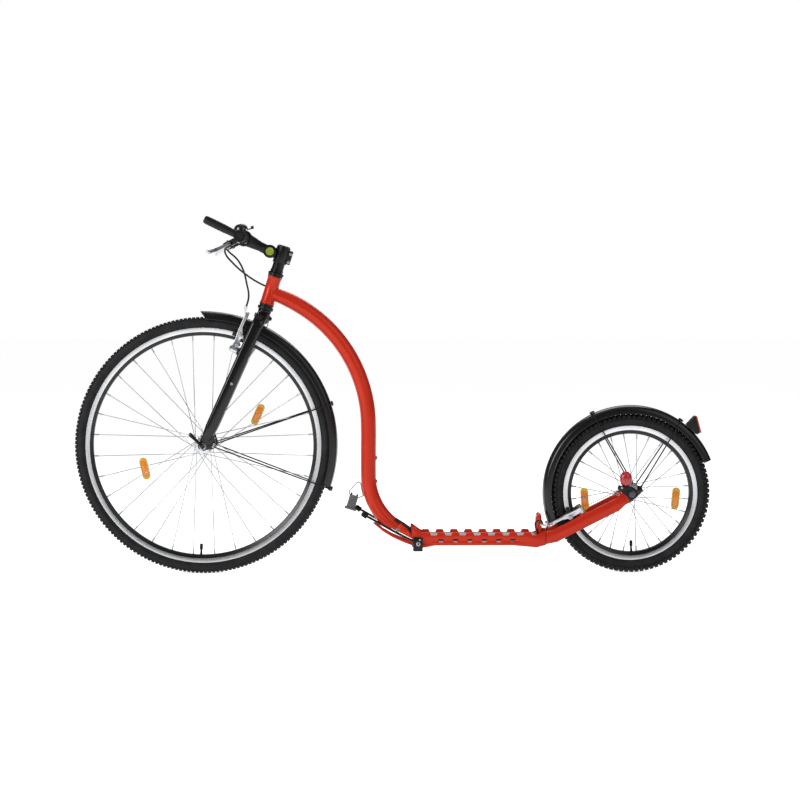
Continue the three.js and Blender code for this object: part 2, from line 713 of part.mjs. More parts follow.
function perchGeometry(side) {
  const outer = perchInner + perchWidth;
  const ring = rod(at(0, side * perchInner, 0), at(0, side * outer, 0), perchRadius, 20);
  const yLow = leverPivotY - perchWingHalf;
  const yHigh = leverPivotY + perchWingHalf;
  const [minY, maxY] = side > 0 ? [yLow, yHigh] : [-yHigh, -yLow];
  const wing = leverHalf + gap;
  const outside = wing + perchPlate;
  const [minX, maxX] = [leverPivotX - perchWingHalf, leverPivotX + perchWingBack];
  const top = block(minX, maxX, minY, maxY, wing, outside);
  const bottom = block(minX, maxX, minY, maxY, -outside, -wing);
  const [neckMin, neckMax] = side > 0 ? [yLow, outer] : [-outer, -yLow];
  const neck = block(maxX - perchLap, -barRadius, neckMin, neckMax, -outside, outside);
  const armStart = barrelEnd + perchArmStart;
  const armStop = yLow + 2 * perchLap;
  const [armMin, armMax] = side > 0 ? [armStart, armStop] : [-armStop, -armStart];
  const arm = block(barrelX - barrelWall, leverPivotX + perchArmBack, armMin, armMax, -outside, outside);
  const barrel = rod(
    at(barrelX, side * (barrelEnd + barrelSink), 0), at(barrelX, side * barrelEnd, 0), barrelRadius, 12);
  const pin = rod(
    at(leverPivotX, side * leverPivotY, -wing - pinReach),
    at(leverPivotX, side * leverPivotY, wing + pinReach), leverPinRadius, 10);
  const bore = rod(
    at(0, side * (perchInner - overrun), 0), at(0, side * (outer + overrun), 0), barRadius + gap, 20);
  return cut(joined(ring, neck, top, bottom, arm, barrel, pin), bore);
}
function leverGeometry(side) {
  const [root, heel, heelBend, inner, innerBend, tipInner, tipOuter, outerBend, outer, rootBend, back] =
    leverShares.map(([along, out]) => [
      leverPivotX + along * (leverTipX - leverPivotX), leverPivotY + out * (leverTipY - leverPivotY)]);
  const blade = new THREE.Shape();
  blade.moveTo(...root);
  blade.lineTo(...heel);
  blade.quadraticCurveTo(...heelBend, ...inner);
  blade.quadraticCurveTo(...innerBend, ...tipInner);
  blade.lineTo(...tipOuter);
  blade.quadraticCurveTo(...outerBend, ...outer);
  blade.quadraticCurveTo(...rootBend, ...back);
  blade.closePath();
  const options = { depth: 2 * leverHalf, bevelEnabled: false, curveSegments: 5 };
  const flat = new THREE.ExtrudeGeometry(blade, options);
  flat.translate(0, 0, -leverHalf);
  const tip = ball(at(leverTipX, leverTipY, 0), leverBallRadius, 10);
  const hole = rod(
    at(leverPivotX, leverPivotY, -overrun - leverHalf), at(leverPivotX, leverPivotY, overrun + leverHalf),
    leverPinRadius + gap, 10);
  const lever = cut(joined(flat, tip), hole);
  lever.scale(1, side, 1);
  return closed(lever);
}
for (const [name, side] of sides) {
  add(cockpit, `grip_${name}`, gripGeometry(side), blackRubber());
  add(cockpit, `bar_end_${name}`, barEndGeometry(side), blackPaint());
  add(levers, `brake_perch_${name}`, perchGeometry(side), blackPaint());
  add(levers, `brake_lever_${name}`, leverGeometry(side), silverMetal());
}

const bellY = -92;
const bellRadius = 19;
const bellTilt = THREE.MathUtils.degToRad(-12);
const bell = groupAt(bike, barX, barZ, bellTilt);
const bellClampWall = 3;
const bellClampHalf = 6;
const bellFootInset = 5;
const bellFootHeight = 5;
const bellFootSink = 1;
const bellHeight = 16.5;
const domeLap = 0.5;
const domeShares = [[1, 0], [1, 0.18], [0.92, 0.48], [0.7, 0.76], [0.36, 0.94], [0, 1]];
const bellSeat = barRadius + bellClampWall;
const bellBottom = bellSeat + bellFootHeight;
const bellBase = cut(
  joined(
    rod(at(0, bellY - bellClampHalf, 0), at(0, bellY + bellClampHalf, 0), bellSeat, 20),
    rod(at(0, bellY, barRadius + bellFootSink), at(0, bellY, bellBottom), bellRadius - bellFootInset, 20),
  ),
  rod(
    at(0, bellY - bellClampHalf - overrun, 0), at(0, bellY + bellClampHalf + overrun, 0),
    barRadius + gap, 20),
);
const dome = revolveUpright(
  [[0, 0], ...domeShares.map(([out, up]) => [out * bellRadius, up * bellHeight])], 20);
dome.translate(0, bellY, bellBottom - domeLap);
add(bell, "bell", joined(bellBase, dome), silverMetal());
const thumbLength = 12;
const thumbRadius = 4;
const thumbHalf = 3;
const thumbThickness = 3;
const thumbButton = 8;
const thumb = joined(
  rod(at(0, 0, 0), at(0, 0, thumbThickness), thumbRadius, 10),
  block(0, thumbLength, -thumbHalf, thumbHalf, 0, thumbThickness),
  rod(at(thumbLength, 0, 0), at(thumbLength, 0, thumbButton), thumbRadius, 10),
);
const thumbMesh = add(bell, "bell_thumb", thumb, blackPlastic());
thumbMesh.position.set(bellRadius, bellY, bellBottom - domeLap - thumbThickness - gap);

// Main tube: from the head tube over a wide arc, straight down and round into the deck
const mainCentres = [];
const mainTangents = [];
function mainStep(x, z, fall) {
  mainCentres.push(new THREE.Vector2(x, z));
  mainTangents.push(fall);
}
const headRun = 26;
const mainTubeSides = 16;
const arcSteps = 9;
const bendSteps = 6;
const arcStartPoint = polar(mainArcRadius, mainArcStart);
const startFall = Math.PI / 2 - mainArcStart;
mainStep(
  mainArcX + arcStartPoint.x - headRun * Math.cos(startFall),
  mainArcZ + arcStartPoint.y + headRun * Math.sin(startFall), startFall);
for (let step = 0; step <= arcSteps; step++) {
  const angle = mainArcStart * (1 - step / arcSteps);
  const point = polar(mainArcRadius, angle);
  mainStep(mainArcX + point.x, mainArcZ + point.y, Math.PI / 2 - angle);
}
const mainDropX = mainArcX + mainArcRadius;
for (let step = 0; step <= bendSteps; step++) {
  const turn = lowerBendTurn * (step / bendSteps);
  mainStep(
    mainDropX + lowerBendRadius * (1 - Math.cos(turn)), lowerBendZ - lowerBendRadius * Math.sin(turn),
    Math.PI / 2 - turn);
}
const mainEnd = mainCentres[mainCentres.length - 1];
const mainEndFall = Math.PI / 2 - lowerBendTurn;

// A place on a tube that lies in the bike's middle plane: v points up or forward from its run
function middlePlace(centre, fall, scaleY = 1, scaleV = 1) {
  return (y, v) => at(
    centre.x + v * scaleV * Math.sin(fall), y * scaleY, centre.y + v * scaleV * Math.cos(fall));
}
function mainTubeSolid(radius) {
  const places = mainCentres.map(
    (centre, number) => middlePlace(centre, mainTangents[number], radius, radius));
  return sweep(ringOutline(1, mainTubeSides), places);
}
const steererUp = at(Math.sin(steeringTilt), 0, Math.cos(steeringTilt));
function onSteeringAxis(along) {
  return at(crownX, 0, crownZ).addScaledVector(steererUp, along);
}
const headRoom = rod(
  onSteeringAxis(crownTop), onSteeringAxis(headTubeTop + overrun), headTubeRadius + lug + gap, 24);

// Bosses for a bottle cage on the back of the straight run, and the gusset under the head joint
const bottleSpacing = 64;
const bottleUpperZ = 313;
const bottleRadius = 4;
const bottleHeight = 4;
const bottleSink = 2;
const bottleBosses = [bottleUpperZ, bottleUpperZ - bottleSpacing].map((z) => rod(
  at(mainDropX + mainTubeRadius - bottleSink, 0, z), at(mainDropX + mainTubeRadius + bottleHeight, 0, z),
  bottleRadius, 12));
const gussetHalf = 3;
const gussetRise = 8;
const gussetMiddleRise = 20;
const gussetReach = 96;
const gussetLowShares = [[0, 0], [0.294, -0.031], [0.646, -0.188], [0.958, -0.271], [1, 0.083]];
const gussetHighShare = 0.229;
const gussetDropShare = 0.042;
const gussetFront = onSteeringAxis(lowerCupTop + gussetRise);
const gussetMiddle = onSteeringAxis(headTubeTop / 2 + gussetMiddleRise);
const gussetShape = new THREE.Shape([
  ...gussetLowShares.map(([along, up]) => new THREE.Vector2(
    gussetFront.x + along * gussetReach, gussetFront.z + up * gussetReach)),
  new THREE.Vector2(
    gussetMiddle.x + gussetHighShare * gussetReach, gussetMiddle.z - gussetDropShare * gussetReach),
]);
const cablePortY = 14;
const cablePortRadius = 5;
const cablePortHeight = 2;
const cablePortStepShare = 0.9;
const cablePortTurn = mainArcStart * (1 - cablePortStepShare / arcSteps);
const cablePortPoint = polar(mainArcRadius, cablePortTurn);
const cablePort = at(
  mainArcX + cablePortPoint.x, mainTubeRadius + cablePortHeight, mainArcZ + cablePortPoint.y);
const mainTube = cut(
  joined(
    mainTubeSolid(mainTubeRadius), ...bottleBosses,
    sidePlate(gussetShape, -gussetHalf, gussetHalf),
    rod(at(cablePort.x, cablePortY, cablePort.z), cablePort, cablePortRadius, 12),
  ),
  headRoom,
);
add(bike, "main_tube", mainTube, redPaint());

// Neck: widens from the tube to the deck's full width
const railHalf = 5;
const railInner = deckHalfWidth - 2 * railHalf;
const neckFall = mainEndFall;
const neckHalfHeight = 17;
const neckTaper = 1;
const neckSink = 2;
const neckFlare = 2.5;
const neckMiddleShare = 0.46;
const neckCornerShare = 0.25;
const neckStartHalf = mainTubeRadius + neckFlare;
const neckEndHalf = railInner - gap;
const neckMiddleHalf = THREE.MathUtils.lerp(neckStartHalf, neckEndHalf, neckMiddleShare);
const neckStart = mainEnd.clone().add(polar(gap, -neckFall));
const neckFoot = new THREE.Vector2(deckFrontX, deckHeight - neckHalfHeight - neckSink);
const neckOutline = roundedOutline(1, 1, neckCornerShare);
const neckPlaces = [
  [neckStart, neckStartHalf, neckHalfHeight + 2 * neckTaper, neckFall],
  [neckStart.clone().lerp(neckFoot, 0.5), neckMiddleHalf, neckHalfHeight + neckTaper, neckFall],
  [neckFoot, neckEndHalf, neckHalfHeight - neckTaper, 0],
].map(([centre, halfWidth, halfHeight, fall]) => middlePlace(centre, fall, halfWidth, halfHeight));
add(bike, "deck_neck", sweep(neckOutline, neckPlaces), redPaint());

// Deck rails: side plates with a toothed top edge and a row of oval holes
const railDepth = 27;
const railFrontRise = 24;
const railBottom = deckHeight - railDepth;
const railFrontTop = deckHeight + railFrontRise;
const toothPitch = 39;
const toothHeight = 8;
const toothTop = 8.5;
const toothFoot = 12;
const teeth = 8;
const firstToothReach = 22;
const firstToothRise = 6;
const holeHalfLength = 8.5;
const holeHalfHeight = 4.5;
const railHoles = 6;
const railHoleDrop = 14;
const firstHoleReach = 76;
const standPivotReach = 14;
const standPivotRise = 5;
const standPivotX = deckFrontX + standPivotReach;
const standPivotZ = railBottom + standPivotRise;
const standBarRadius = 4;
const standBarSides = 12;
const railLap = 4;
const railNoseRun = 16;
const railNoseDrop = 14;
const railBelly = 6;
const railBellyFront = 30;
const railBellyEnd = 60;
const railFootDrop = 4;
const railRise = 30;
const railTail = 26;
const railTailRun = 90;
const railEndRise = 12;
const railEndLift = 1;
const railFrontX = deckFrontX - railLap;
const rearRiseX = deckRearX - railRise;
const railEndTop = deckHeight + railEndRise;
const railEndBottom = railBottom + railEndLift;

function ovalHole(x, z) {
  const hole = new THREE.Path();
  const run = holeHalfLength - holeHalfHeight;
  hole.absarc(x + run, z, holeHalfHeight, -Math.PI / 2, Math.PI / 2, false);
  hole.absarc(x - run, z, holeHalfHeight, Math.PI / 2, (3 * Math.PI) / 2, false);
  hole.closePath();
  return hole;
}
function railShape() {
  const shape = new THREE.Shape();
  shape.moveTo(railFrontX, railFrontTop - railNoseDrop);
  shape.lineTo(railFrontX, railFrontTop);
  shape.lineTo(railFrontX + railNoseRun, deckHeight + railNoseDrop);
  for (let tooth = 0; tooth < teeth; tooth++) {
    const x = deckFrontX + firstToothReach + tooth * toothPitch;
    const foot = tooth === 0 ? deckHeight + firstToothRise : deckHeight;
    shape.lineTo(x - toothFoot, foot);
    shape.lineTo(x - toothTop, deckHeight + toothHeight);
    shape.lineTo(x + toothTop, deckHeight + toothHeight);
    shape.lineTo(x + toothFoot, deckHeight);
  }
  shape.lineTo(rearRiseX, deckHeight);
  shape.lineTo(deckRearX, railEndTop);
  shape.lineTo(deckRearX, railEndBottom);
  shape.lineTo(deckRearX - railTail, railBottom - railBelly);
  shape.lineTo(deckRearX - railTailRun, railBottom);
  shape.lineTo(deckFrontX + railBellyEnd, railBottom);
  shape.lineTo(deckFrontX + railBellyFront, railBottom - railBelly);
  shape.lineTo(deckFrontX + railLap, railBottom - railFootDrop);
  shape.closePath();
  for (let number = 0; number < railHoles; number++) {
    shape.holes.push(ovalHole(deckFrontX + firstHoleReach + number * toothPitch, deckHeight - railHoleDrop));
  }
  const pivotRing = ringOutline((standBarRadius + gap) / Math.cos(Math.PI / standBarSides), standBarSides);
  const pivotPlace = new THREE.Vector2(standPivotX, standPivotZ);
  shape.holes.push(new THREE.Path(pivotRing.map((point) => point.add(pivotPlace))));
  return shape;
}
for (const [name, side] of sides) {
  const [minY, maxY] = side > 0 ? [railInner, deckHalfWidth] : [-deckHalfWidth, -railInner];
  add(bike, `deck_rail_${name}`, sidePlate(railShape(), minY, maxY, 2), redPaint());
}

// Deck plate with turned-down edges, between the rails
const plateThickness = 3;
const plateFlange = 14;
const plateFrontX = deckFrontX + gap;
const plateSink = 1;
const plateRearX = deckRearX - railTail;
const plateHalf = railInner - gap;
const plateTop = deckHeight - plateSink;
const plateSection = [
  [-plateHalf, 0], [-plateHalf, -plateFlange], [plateThickness - plateHalf, -plateFlange],
  [plateThickness - plateHalf, -plateThickness], [plateHalf - plateThickness, -plateThickness],
  [plateHalf - plateThickness, -plateFlange], [plateHalf, -plateFlange], [plateHalf, 0],
].map(([y, z]) => new THREE.Vector2(y, z));
add(bike, "deck_plate", sweep(plateSection, [plateFrontX, plateRearX].map(
  (x) => (y, z) => at(x, y, plateTop + z))), blackPaint());

// Rear cross member, and the hoop on it that guards the rear wheel
const hoopInset = 17;
const hoopX = deckRearX - hoopInset;
const hoopRadius = 6.3;
const hoopWheelRoom = 14;
const hoopRise = 57;
const hoopHalf = wheelValues.rear.tyreHalfWidth + hoopWheelRoom;
const hoopTop = deckHeight + hoopRise;
const hoopCorner = 20;
const crossInset = 2;
const crossRise = 4;
const crossFront = plateRearX + gap;
const crossRear = deckRearX - crossInset;
const crossBottom = railBottom + crossRise;
const hoopPath = new THREE.CurvePath();
const hoopLegTop = hoopTop - hoopRadius - hoopCorner;
hoopPath.add(new THREE.LineCurve3(at(hoopX, -hoopHalf, plateTop), at(hoopX, -hoopHalf, hoopLegTop)));
hoopPath.add(new THREE.QuadraticBezierCurve3(
  at(hoopX, -hoopHalf, hoopLegTop), at(hoopX, -hoopHalf, hoopTop - hoopRadius),
  at(hoopX, hoopCorner - hoopHalf, hoopTop - hoopRadius)));
hoopPath.add(new THREE.LineCurve3(
  at(hoopX, hoopCorner - hoopHalf, hoopTop - hoopRadius),
  at(hoopX, hoopHalf - hoopCorner, hoopTop - hoopRadius)));
hoopPath.add(new THREE.QuadraticBezierCurve3(
  at(hoopX, hoopHalf - hoopCorner, hoopTop - hoopRadius), at(hoopX, hoopHalf, hoopTop - hoopRadius),
  at(hoopX, hoopHalf, hoopLegTop)));
hoopPath.add(new THREE.LineCurve3(at(hoopX, hoopHalf, hoopLegTop), at(hoopX, hoopHalf, plateTop)));
const crossMember = block(crossFront, crossRear, -plateHalf, plateHalf, crossBottom, plateTop);
add(bike, "rear_cross_member", crossMember, redPaint());
add(bike, "rear_wheel_guard_hoop", tube(hoopPath, hoopRadius, 10, 18), redPaint());

// Rear arms: the group's origin is the rear hub, local -X runs down each arm to the deck
const rearArms = groupAt(bike, wheelbase, rearTyreRadius, -rearArmTilt);
const armY = 52;
const armHalfWidth = 9;
const armHalfHeight = 17;
const armDrop = 8;
const armEnd = 24;
const armFrontZ = (railEndTop + railEndBottom) / 2;
function toArms(x, z) {
  const dx = x - wheelbase;
  const dz = z - rearTyreRadius;
  const [cos, sin] = [Math.cos(rearArmTilt), Math.sin(rearArmTilt)];
  return new THREE.Vector2(dx * cos + dz * sin, dz * cos - dx * sin);
}
const rearPostS = 141;
const rearPostTop = 30;
const rearEyeletX = 26;
const rearEyeletLow = 4;
const rearEyeletInnerX = 16;
const rearEyeletHigh = 13;
const rearEyeletWall = 5;
const armSag = 1;
const armShoulder = 26;
const armStraight = 44;
const armTaper = 26;
const armCorner = 6;
const armTurnShare = 0.25;
const armRiseShare = 0.98;
const armEndWideShare = 0.8;
const armEndDropShare = 0.6;
const armEndHighShare = 0.72;
const rearDropoutHalf = 14;
const rearDropoutReach = 20;
const rearDropoutStep = 6;
const rearDropoutLip = 4;
const rearDropoutNotch = 8;
const rearBossRise = 3;
const rearBossTop = armHalfHeight - armDrop + rearBossRise;
function rearArm(side) {
  const front = toArms(deckRearX + gap, armFrontZ);
  const ahead = new THREE.Vector2(Math.sin(rearArmTilt), Math.cos(rearArmTilt));
  const middle = side * armY;
  const places = [
    (y, v) => at(front.x + ahead.x * v, middle + y, front.y + ahead.y * v),
    (y, v) => at(front.x + armShoulder + v * armTurnShare, middle + y, -armDrop - armSag + v * armRiseShare),
    (y, v) => at(front.x + armStraight, middle + y, -armDrop + v),
    (y, v) => at(-armEnd - armTaper, middle + y, -armDrop + v),
    (y, v) => at(-armEnd, middle + y * armEndWideShare, -armDrop * armEndDropShare + v * armEndHighShare),
  ];
  const arm = sweep(roundedOutline(armHalfWidth, armHalfHeight, armCorner), places);
  const plate = new THREE.Shape();
  const half = rearDropoutHalf;
  plate.moveTo(-armEnd - rearDropoutReach, half - rearDropoutStep);
  plate.lineTo(-armEnd - rearDropoutReach, -half - rearDropoutLip);
  plate.lineTo(-slotHalf, -half - rearDropoutLip);
  plate.lineTo(-slotHalf, 0);
  plate.absarc(0, 0, slotHalf, Math.PI, 0, true);
  plate.lineTo(slotHalf, -half);
  plate.lineTo(rearEyeletX + rearEyeletWall, -half + rearDropoutNotch);
  plate.lineTo(rearEyeletX + rearEyeletWall, rearEyeletLow + rearEyeletWall);
  plate.lineTo(half, half + rearDropoutLip);
  plate.lineTo(-half, half + rearDropoutLip);
  plate.closePath();
  const inner = axle.dropoutInner;
  const outer = inner + axle.dropoutWidth;
  const dropout = sidePlate(plate, side > 0 ? inner : -outer, side > 0 ? outer : -inner);
  const minY = side > 0 ? postY - postRadius : -armY;
  const maxY = side > 0 ? armY : -postY + postRadius;
  const boss = block(
    -rearPostS - postBossHalf, -rearPostS + postBossHalf, minY, maxY,
    rearBossTop - postBossHalf, rearBossTop);
  const post = rod(
    at(-rearPostS, side * postY, rearBossTop - postSink), at(-rearPostS, side * postY, rearPostTop),
    postRadius, 12);
  return joined(arm, dropout, boss, post);
}
for (const [name, side] of sides) {
  add(rearArms, `rear_arm_${name}`, rearArm(side), redPaint());
}

// Wires and hoses: a round bar bent along a row of points, each corner rounded
const bendReachShare = 0.45;
function bent(points, radius, bendRadius, wireSides = 6) {
  const path = [points[0]];
  for (let number = 1; number + 1 < points.length; number++) {
    const corner = points[number];
    const back = points[number - 1].clone().sub(corner);
    const on = points[number + 1].clone().sub(corner);
    const reach = Math.min(bendRadius, back.length() * bendReachShare, on.length() * bendReachShare);
    const start = corner.clone().addScaledVector(back.normalize(), reach);
    const end = corner.clone().addScaledVector(on.normalize(), reach);
    const bend = new THREE.QuadraticBezierCurve3(start, corner, end);
    path.push(...bend.getPoints(3));
  }
  path.push(points[points.length - 1]);
  const tangents = path.map((point, number) => {
    const before = path[Math.max(number - 1, 0)];
    const after = path[Math.min(number + 1, path.length - 1)];
    return after.clone().sub(before).normalize();
  });
  let across = at(0, 0, 1).cross(tangents[0]);
  if (across.length() < 0.1) {
    across = at(1, 0, 0).cross(tangents[0]);
  }
  across.normalize();
  const places = path.map((centre, number) => {
    if (number > 0) {
      across = across.clone().applyQuaternion(
        new THREE.Quaternion().setFromUnitVectors(tangents[number - 1], tangents[number]));
    }
    const [u, v] = [across.clone(), tangents[number].clone().cross(across)];
    return (x, y) => centre.clone().addScaledVector(u, x).addScaledVector(v, y);
  });
  return sweep(ringOutline(radius, wireSides), places);
}

// Mudguards: a creased sheet carried round the wheel, with wire stays clipped over it
const guardSheet = 2;
const clipHalf = 7;
const frontGuardRise = 15;
const frontGuardLap = 7;
const frontGuardRoom = 5;
const rearGuardRise = 21;
const rearEdgeRise = 1.5;
const rearGuardRoom = 6;
const guards = {
  front: {
    radius: frontTyreRadius + frontGuardRise, edge: frontTyreRadius - frontGuardLap,
    halfWidth: wheelValues.front.tyreHalfWidth + frontGuardRoom,
    from: 91.2, to: -29, steps: 20, stayAngles: [18, -19],
  },
  rear: {
    radius: rearTyreRadius + rearGuardRise, edge: rearTyreRadius + rearEdgeRise,
    halfWidth: wheelValues.rear.tyreHalfWidth + rearGuardRoom,
    from: 201.4, to: 22.2, steps: 24, stayAngles: [115.5, 55],
  },
};
const guardCrease = 2.5;
const guardWallShares = [0.94, 0.6];
const guardCrownShare = 0.6;
const stayRadius = 1.6;
const stayTuck = 6;
const clipHeight = 6;
function guardGeometry(guard) {
  const { radius, edge, halfWidth, from, to, steps } = guard;
  const depth = radius - edge;
  const [wallShare, wallRiseShare] = guardWallShares;
  const half = [
    [halfWidth, edge], [halfWidth * wallShare, edge + depth * wallRiseShare],
    [halfWidth * guardCrownShare, radius - guardCrease],
  ];
  const outer = [...half.map(([y, r]) => [-y, r]), [0, radius], ...[...half].reverse()];
  const inner = outer.map(
    ([y, r]) => [y * (1 - guardSheet / halfWidth), r === edge ? edge : r - guardSheet]);
  const outline = [...outer, ...inner.reverse()].map(([y, r]) => new THREE.Vector2(y, r));
  const places = [];
  for (let step = 0; step <= steps; step++) {
    const angle = THREE.MathUtils.degToRad(from + ((to - from) * step) / steps);
    places.push((y, r) => at(r * Math.cos(angle), y, r * Math.sin(angle)));
  }
  return sweep(outline, places);
}
function stayGeometry(guard, number, eyelet) {
  const angle = THREE.MathUtils.degToRad(guard.stayAngles[number]);
  const eyeletY = axle.dropoutInner + axle.dropoutWidth + 3 * gap + stayRadius;
  const sideY = guard.halfWidth + gap + stayRadius;
  const topRadius = guard.radius + gap + stayRadius;
  const onArc = (radius, y) => {
    const point = polar(radius, angle);
    return at(point.x, y, point.y);
  };
  const half = [
    at(eyelet.x, -eyeletY, eyelet.y), onArc(guard.edge + stayTuck, -sideY), onArc(topRadius, -sideY)];
  const mirrored = half.map((point) => at(point.x, -point.y, point.z)).reverse();
  const wire = bent([...half, ...mirrored], stayRadius, 6);
  const clip = block(
    guard.radius + gap, guard.radius + gap + clipHeight, -clipHalf, clipHalf, -clipHalf, clipHalf);
  clip.rotateY(-angle);
  return joined(wire, clip);
}
function intoBike(geometry, x, z, tilt = 0) {
  const moved = geometry.clone();
  moved.rotateY(tilt);
  moved.translate(x, 0, z);
  return moved;
}
function eyeletPlace(x, z, tilt) {
  const point = at(x, 0, z).applyAxisAngle(at(0, 1, 0), tilt);
  return new THREE.Vector2(point.x, point.z);
}
const tabHalf = 7;
const tabRise = 8;
const tabDrop = 12;
const tabTop = crownBoltZ + tabRise;
const frontTab = cut(
  block(crownHalfDepth + gap, crownHalfDepth + gap + tabThickness, -tabHalf, tabHalf,
    crownBottom - tabDrop, tabTop),
  rod(at(0, 0, crownBoltZ), at(2 * crownHalfDepth, 0, crownBoltZ), mudguardBoltRadius + gap, 10),
);
const hubRoom = (radius) => rod(at(0, -legY, 0), at(0, legY, 0), radius, 64);
const tiltedTab = intoBike(frontTab, crownX, crownZ - frontTyreRadius, steeringTilt);
const frontGuardGroup = groupAt(bike, 0, frontTyreRadius);
add(frontGuardGroup, "front_mudguard", joined(
  guardGeometry(guards.front), cut(tiltedTab, hubRoom(guards.front.radius - guardSheet / 2)),
), blackPlastic());
["upper", "lower"].forEach((name, number) => {
  const eyelet = eyeletPlace(eyeletX, number === 0 ? eyeletHigh : eyeletLow, forkLegTilt);
  const geometry = stayGeometry(guards.front, number, eyelet);
  add(frontGuardGroup, `front_mudguard_stay_${name}`, geometry, blackPaint());
});
const rearGuardGroup = groupAt(bike, wheelbase, rearTyreRadius);
const rearTabHalf = 10;
const rearEndAngle = THREE.MathUtils.degToRad(guards.rear.from);
const rearEnd = polar(guards.rear.radius - guardSheet / 2, rearEndAngle);
const tabX = crossRear + gap - wheelbase;
const rearTabLift = 3;
const rearTabHook = 1;
const rearTabLap = 6;
const tabLowZ = crossBottom + rearTabLift - rearTyreRadius;
const tabHighZ = plateTop - rearTyreRadius;
const rearTabShape = new THREE.Shape([
  new THREE.Vector2(tabX, tabLowZ), new THREE.Vector2(tabX + tabThickness, tabLowZ),
  new THREE.Vector2(tabX + tabThickness, tabHighZ),
  new THREE.Vector2(rearEnd.x + rearTabHook, rearEnd.y + rearTabHook),
  new THREE.Vector2(rearEnd.x - rearTabHook, rearEnd.y + rearTabLap), new THREE.Vector2(tabX, tabHighZ),
]);
add(rearGuardGroup, "rear_mudguard", joined(
  guardGeometry(guards.rear), sidePlate(rearTabShape, -rearTabHalf, rearTabHalf),
), blackPlastic());
["front", "back"].forEach((name, number) => {
  const eyelet = number === 0
    ? eyeletPlace(rearEyeletInnerX, rearEyeletHigh, -rearArmTilt)
    : eyeletPlace(rearEyeletX, rearEyeletLow, -rearArmTilt);
  const geometry = stayGeometry(guards.rear, number, eyelet);
  add(rearGuardGroup, `rear_mudguard_stay_${name}`, geometry, blackPaint());
});

// Rim brakes: an arm on each post, with its pad facing the rim's brake band
const armHubRadius = 8;
const armWidth = 9;
const padHalfLength = 25;
const padHalfHeight = 5;
const padDepth = 9;
const padClearance = 1.5;
const frontPadDrop = 6;
const rearPadDrop = 5.5;
const armFoot = 3;
const armLow = 7;
const armLowHalf = 6;
const armMiddleHalf = 7;
const armTopHalf = 4;
const armTipHalf = 3.5;
const armTip = 6;
const armBulge = 2;
const armBelowPad = 8;
const armAbovePad = 9;
const armNeck = 22;
const armCornerShare = 0.3;
const padCorner = 2;
const padShares = [-1, -0.3, 0.3, 1];
const padBoltRadius = 3.2;
const padBoltReach = 5;
const padNutRadius = 6.5;
const padNutInner = 6;
const padNutOuter = 3;
const brakes = {
  front: {
    place: (s, f, y) => at(-f, y, s), pivot: frontPostHeight,
    hubFrom: postStart, hubTo: frontPostEnd - postSink,
    top: 371, topF: 37.5, padRadius: wheelValues.front.rimRadius - frontPadDrop, padF: 27,
    rimHalfWidth: wheelValues.front.rimHalfWidth,
  },
  rear: {
    place: (s, f, y) => at(-s, y, f), pivot: rearPostS,
    hubFrom: rearBossTop, hubTo: rearPostTop - postSink,
    top: 236, topF: 24.5, padRadius: wheelValues.rear.rimRadius - rearPadDrop, padF: 17,
    rimHalfWidth: wheelValues.rear.rimHalfWidth,
  },
};
function brakeArm(brake, side) {
  const { place, pivot, hubFrom, hubTo, top, topF, padRadius, padF, rimHalfWidth } = brake;
  const y = side * postY;
  const hub = rod(place(pivot, hubFrom + gap, y), place(pivot, hubTo, y), armHubRadius, 12);
  const padS = Math.sqrt(padRadius ** 2 - padF ** 2);
  const low = hubTo - armLow;
  const middleF = (low + padF) / 2;
  const bodyRings = [
    [pivot - armFoot, low, armLowHalf], [padS - armBelowPad, middleF + armBulge, armMiddleHalf],
    [padS + armAbovePad, middleF + 2 * armBulge, armMiddleHalf],
    [padS + armNeck, topF, armTopHalf], [top + armTip, topF, armTipHalf],
  ];
  const body = sweep(roundedOutline(armWidth / 2, 1, armCornerShare, 1), bodyRings.map(
    ([s, f, half]) => (u, v) => place(s, f + v * half, y + u)));
  const padFace = rimHalfWidth + padClearance;
  const padMiddle = side * (padFace + padDepth / 2);
  const out = new THREE.Vector2(padS, padF).normalize();
  const pad = sweep(roundedOutline(padDepth / 2, padHalfHeight, padCorner, 1), padShares.map((share) => {
    const along = share * padHalfLength;
    const sink = (along * along) / (2 * padRadius);
    return (u, v) => place(
      padS - out.y * along + out.x * (v - sink), padF + out.x * along + out.y * (v - sink), padMiddle + u);
  }));
  const [armInner, armOuter] = [postY - armWidth / 2, postY + armWidth / 2];
  const bolt = rod(
    place(padS, padF, padMiddle), place(padS, padF, side * (armOuter + padBoltReach)), padBoltRadius, 10);
  const nut = rod(
    place(padS, padF, side * (armInner - padNutInner)), place(padS, padF, side * (armOuter + padNutOuter)),
    padNutRadius, 8);
  const bore = rod(
    place(pivot, hubFrom - overrun, y), place(pivot, hubTo + overrun, y), postRadius + gap, 10);
  return cut(joined(hub, body, pad, bolt, nut), bore);
}
for (const [name, side] of sides) {
  add(forkLegs, `front_brake_arm_${name}`, brakeArm(brakes.front, side), silverMetal());
  add(rearArms, `rear_brake_arm_${name}`, brakeArm(brakes.rear, side), silverMetal());
}

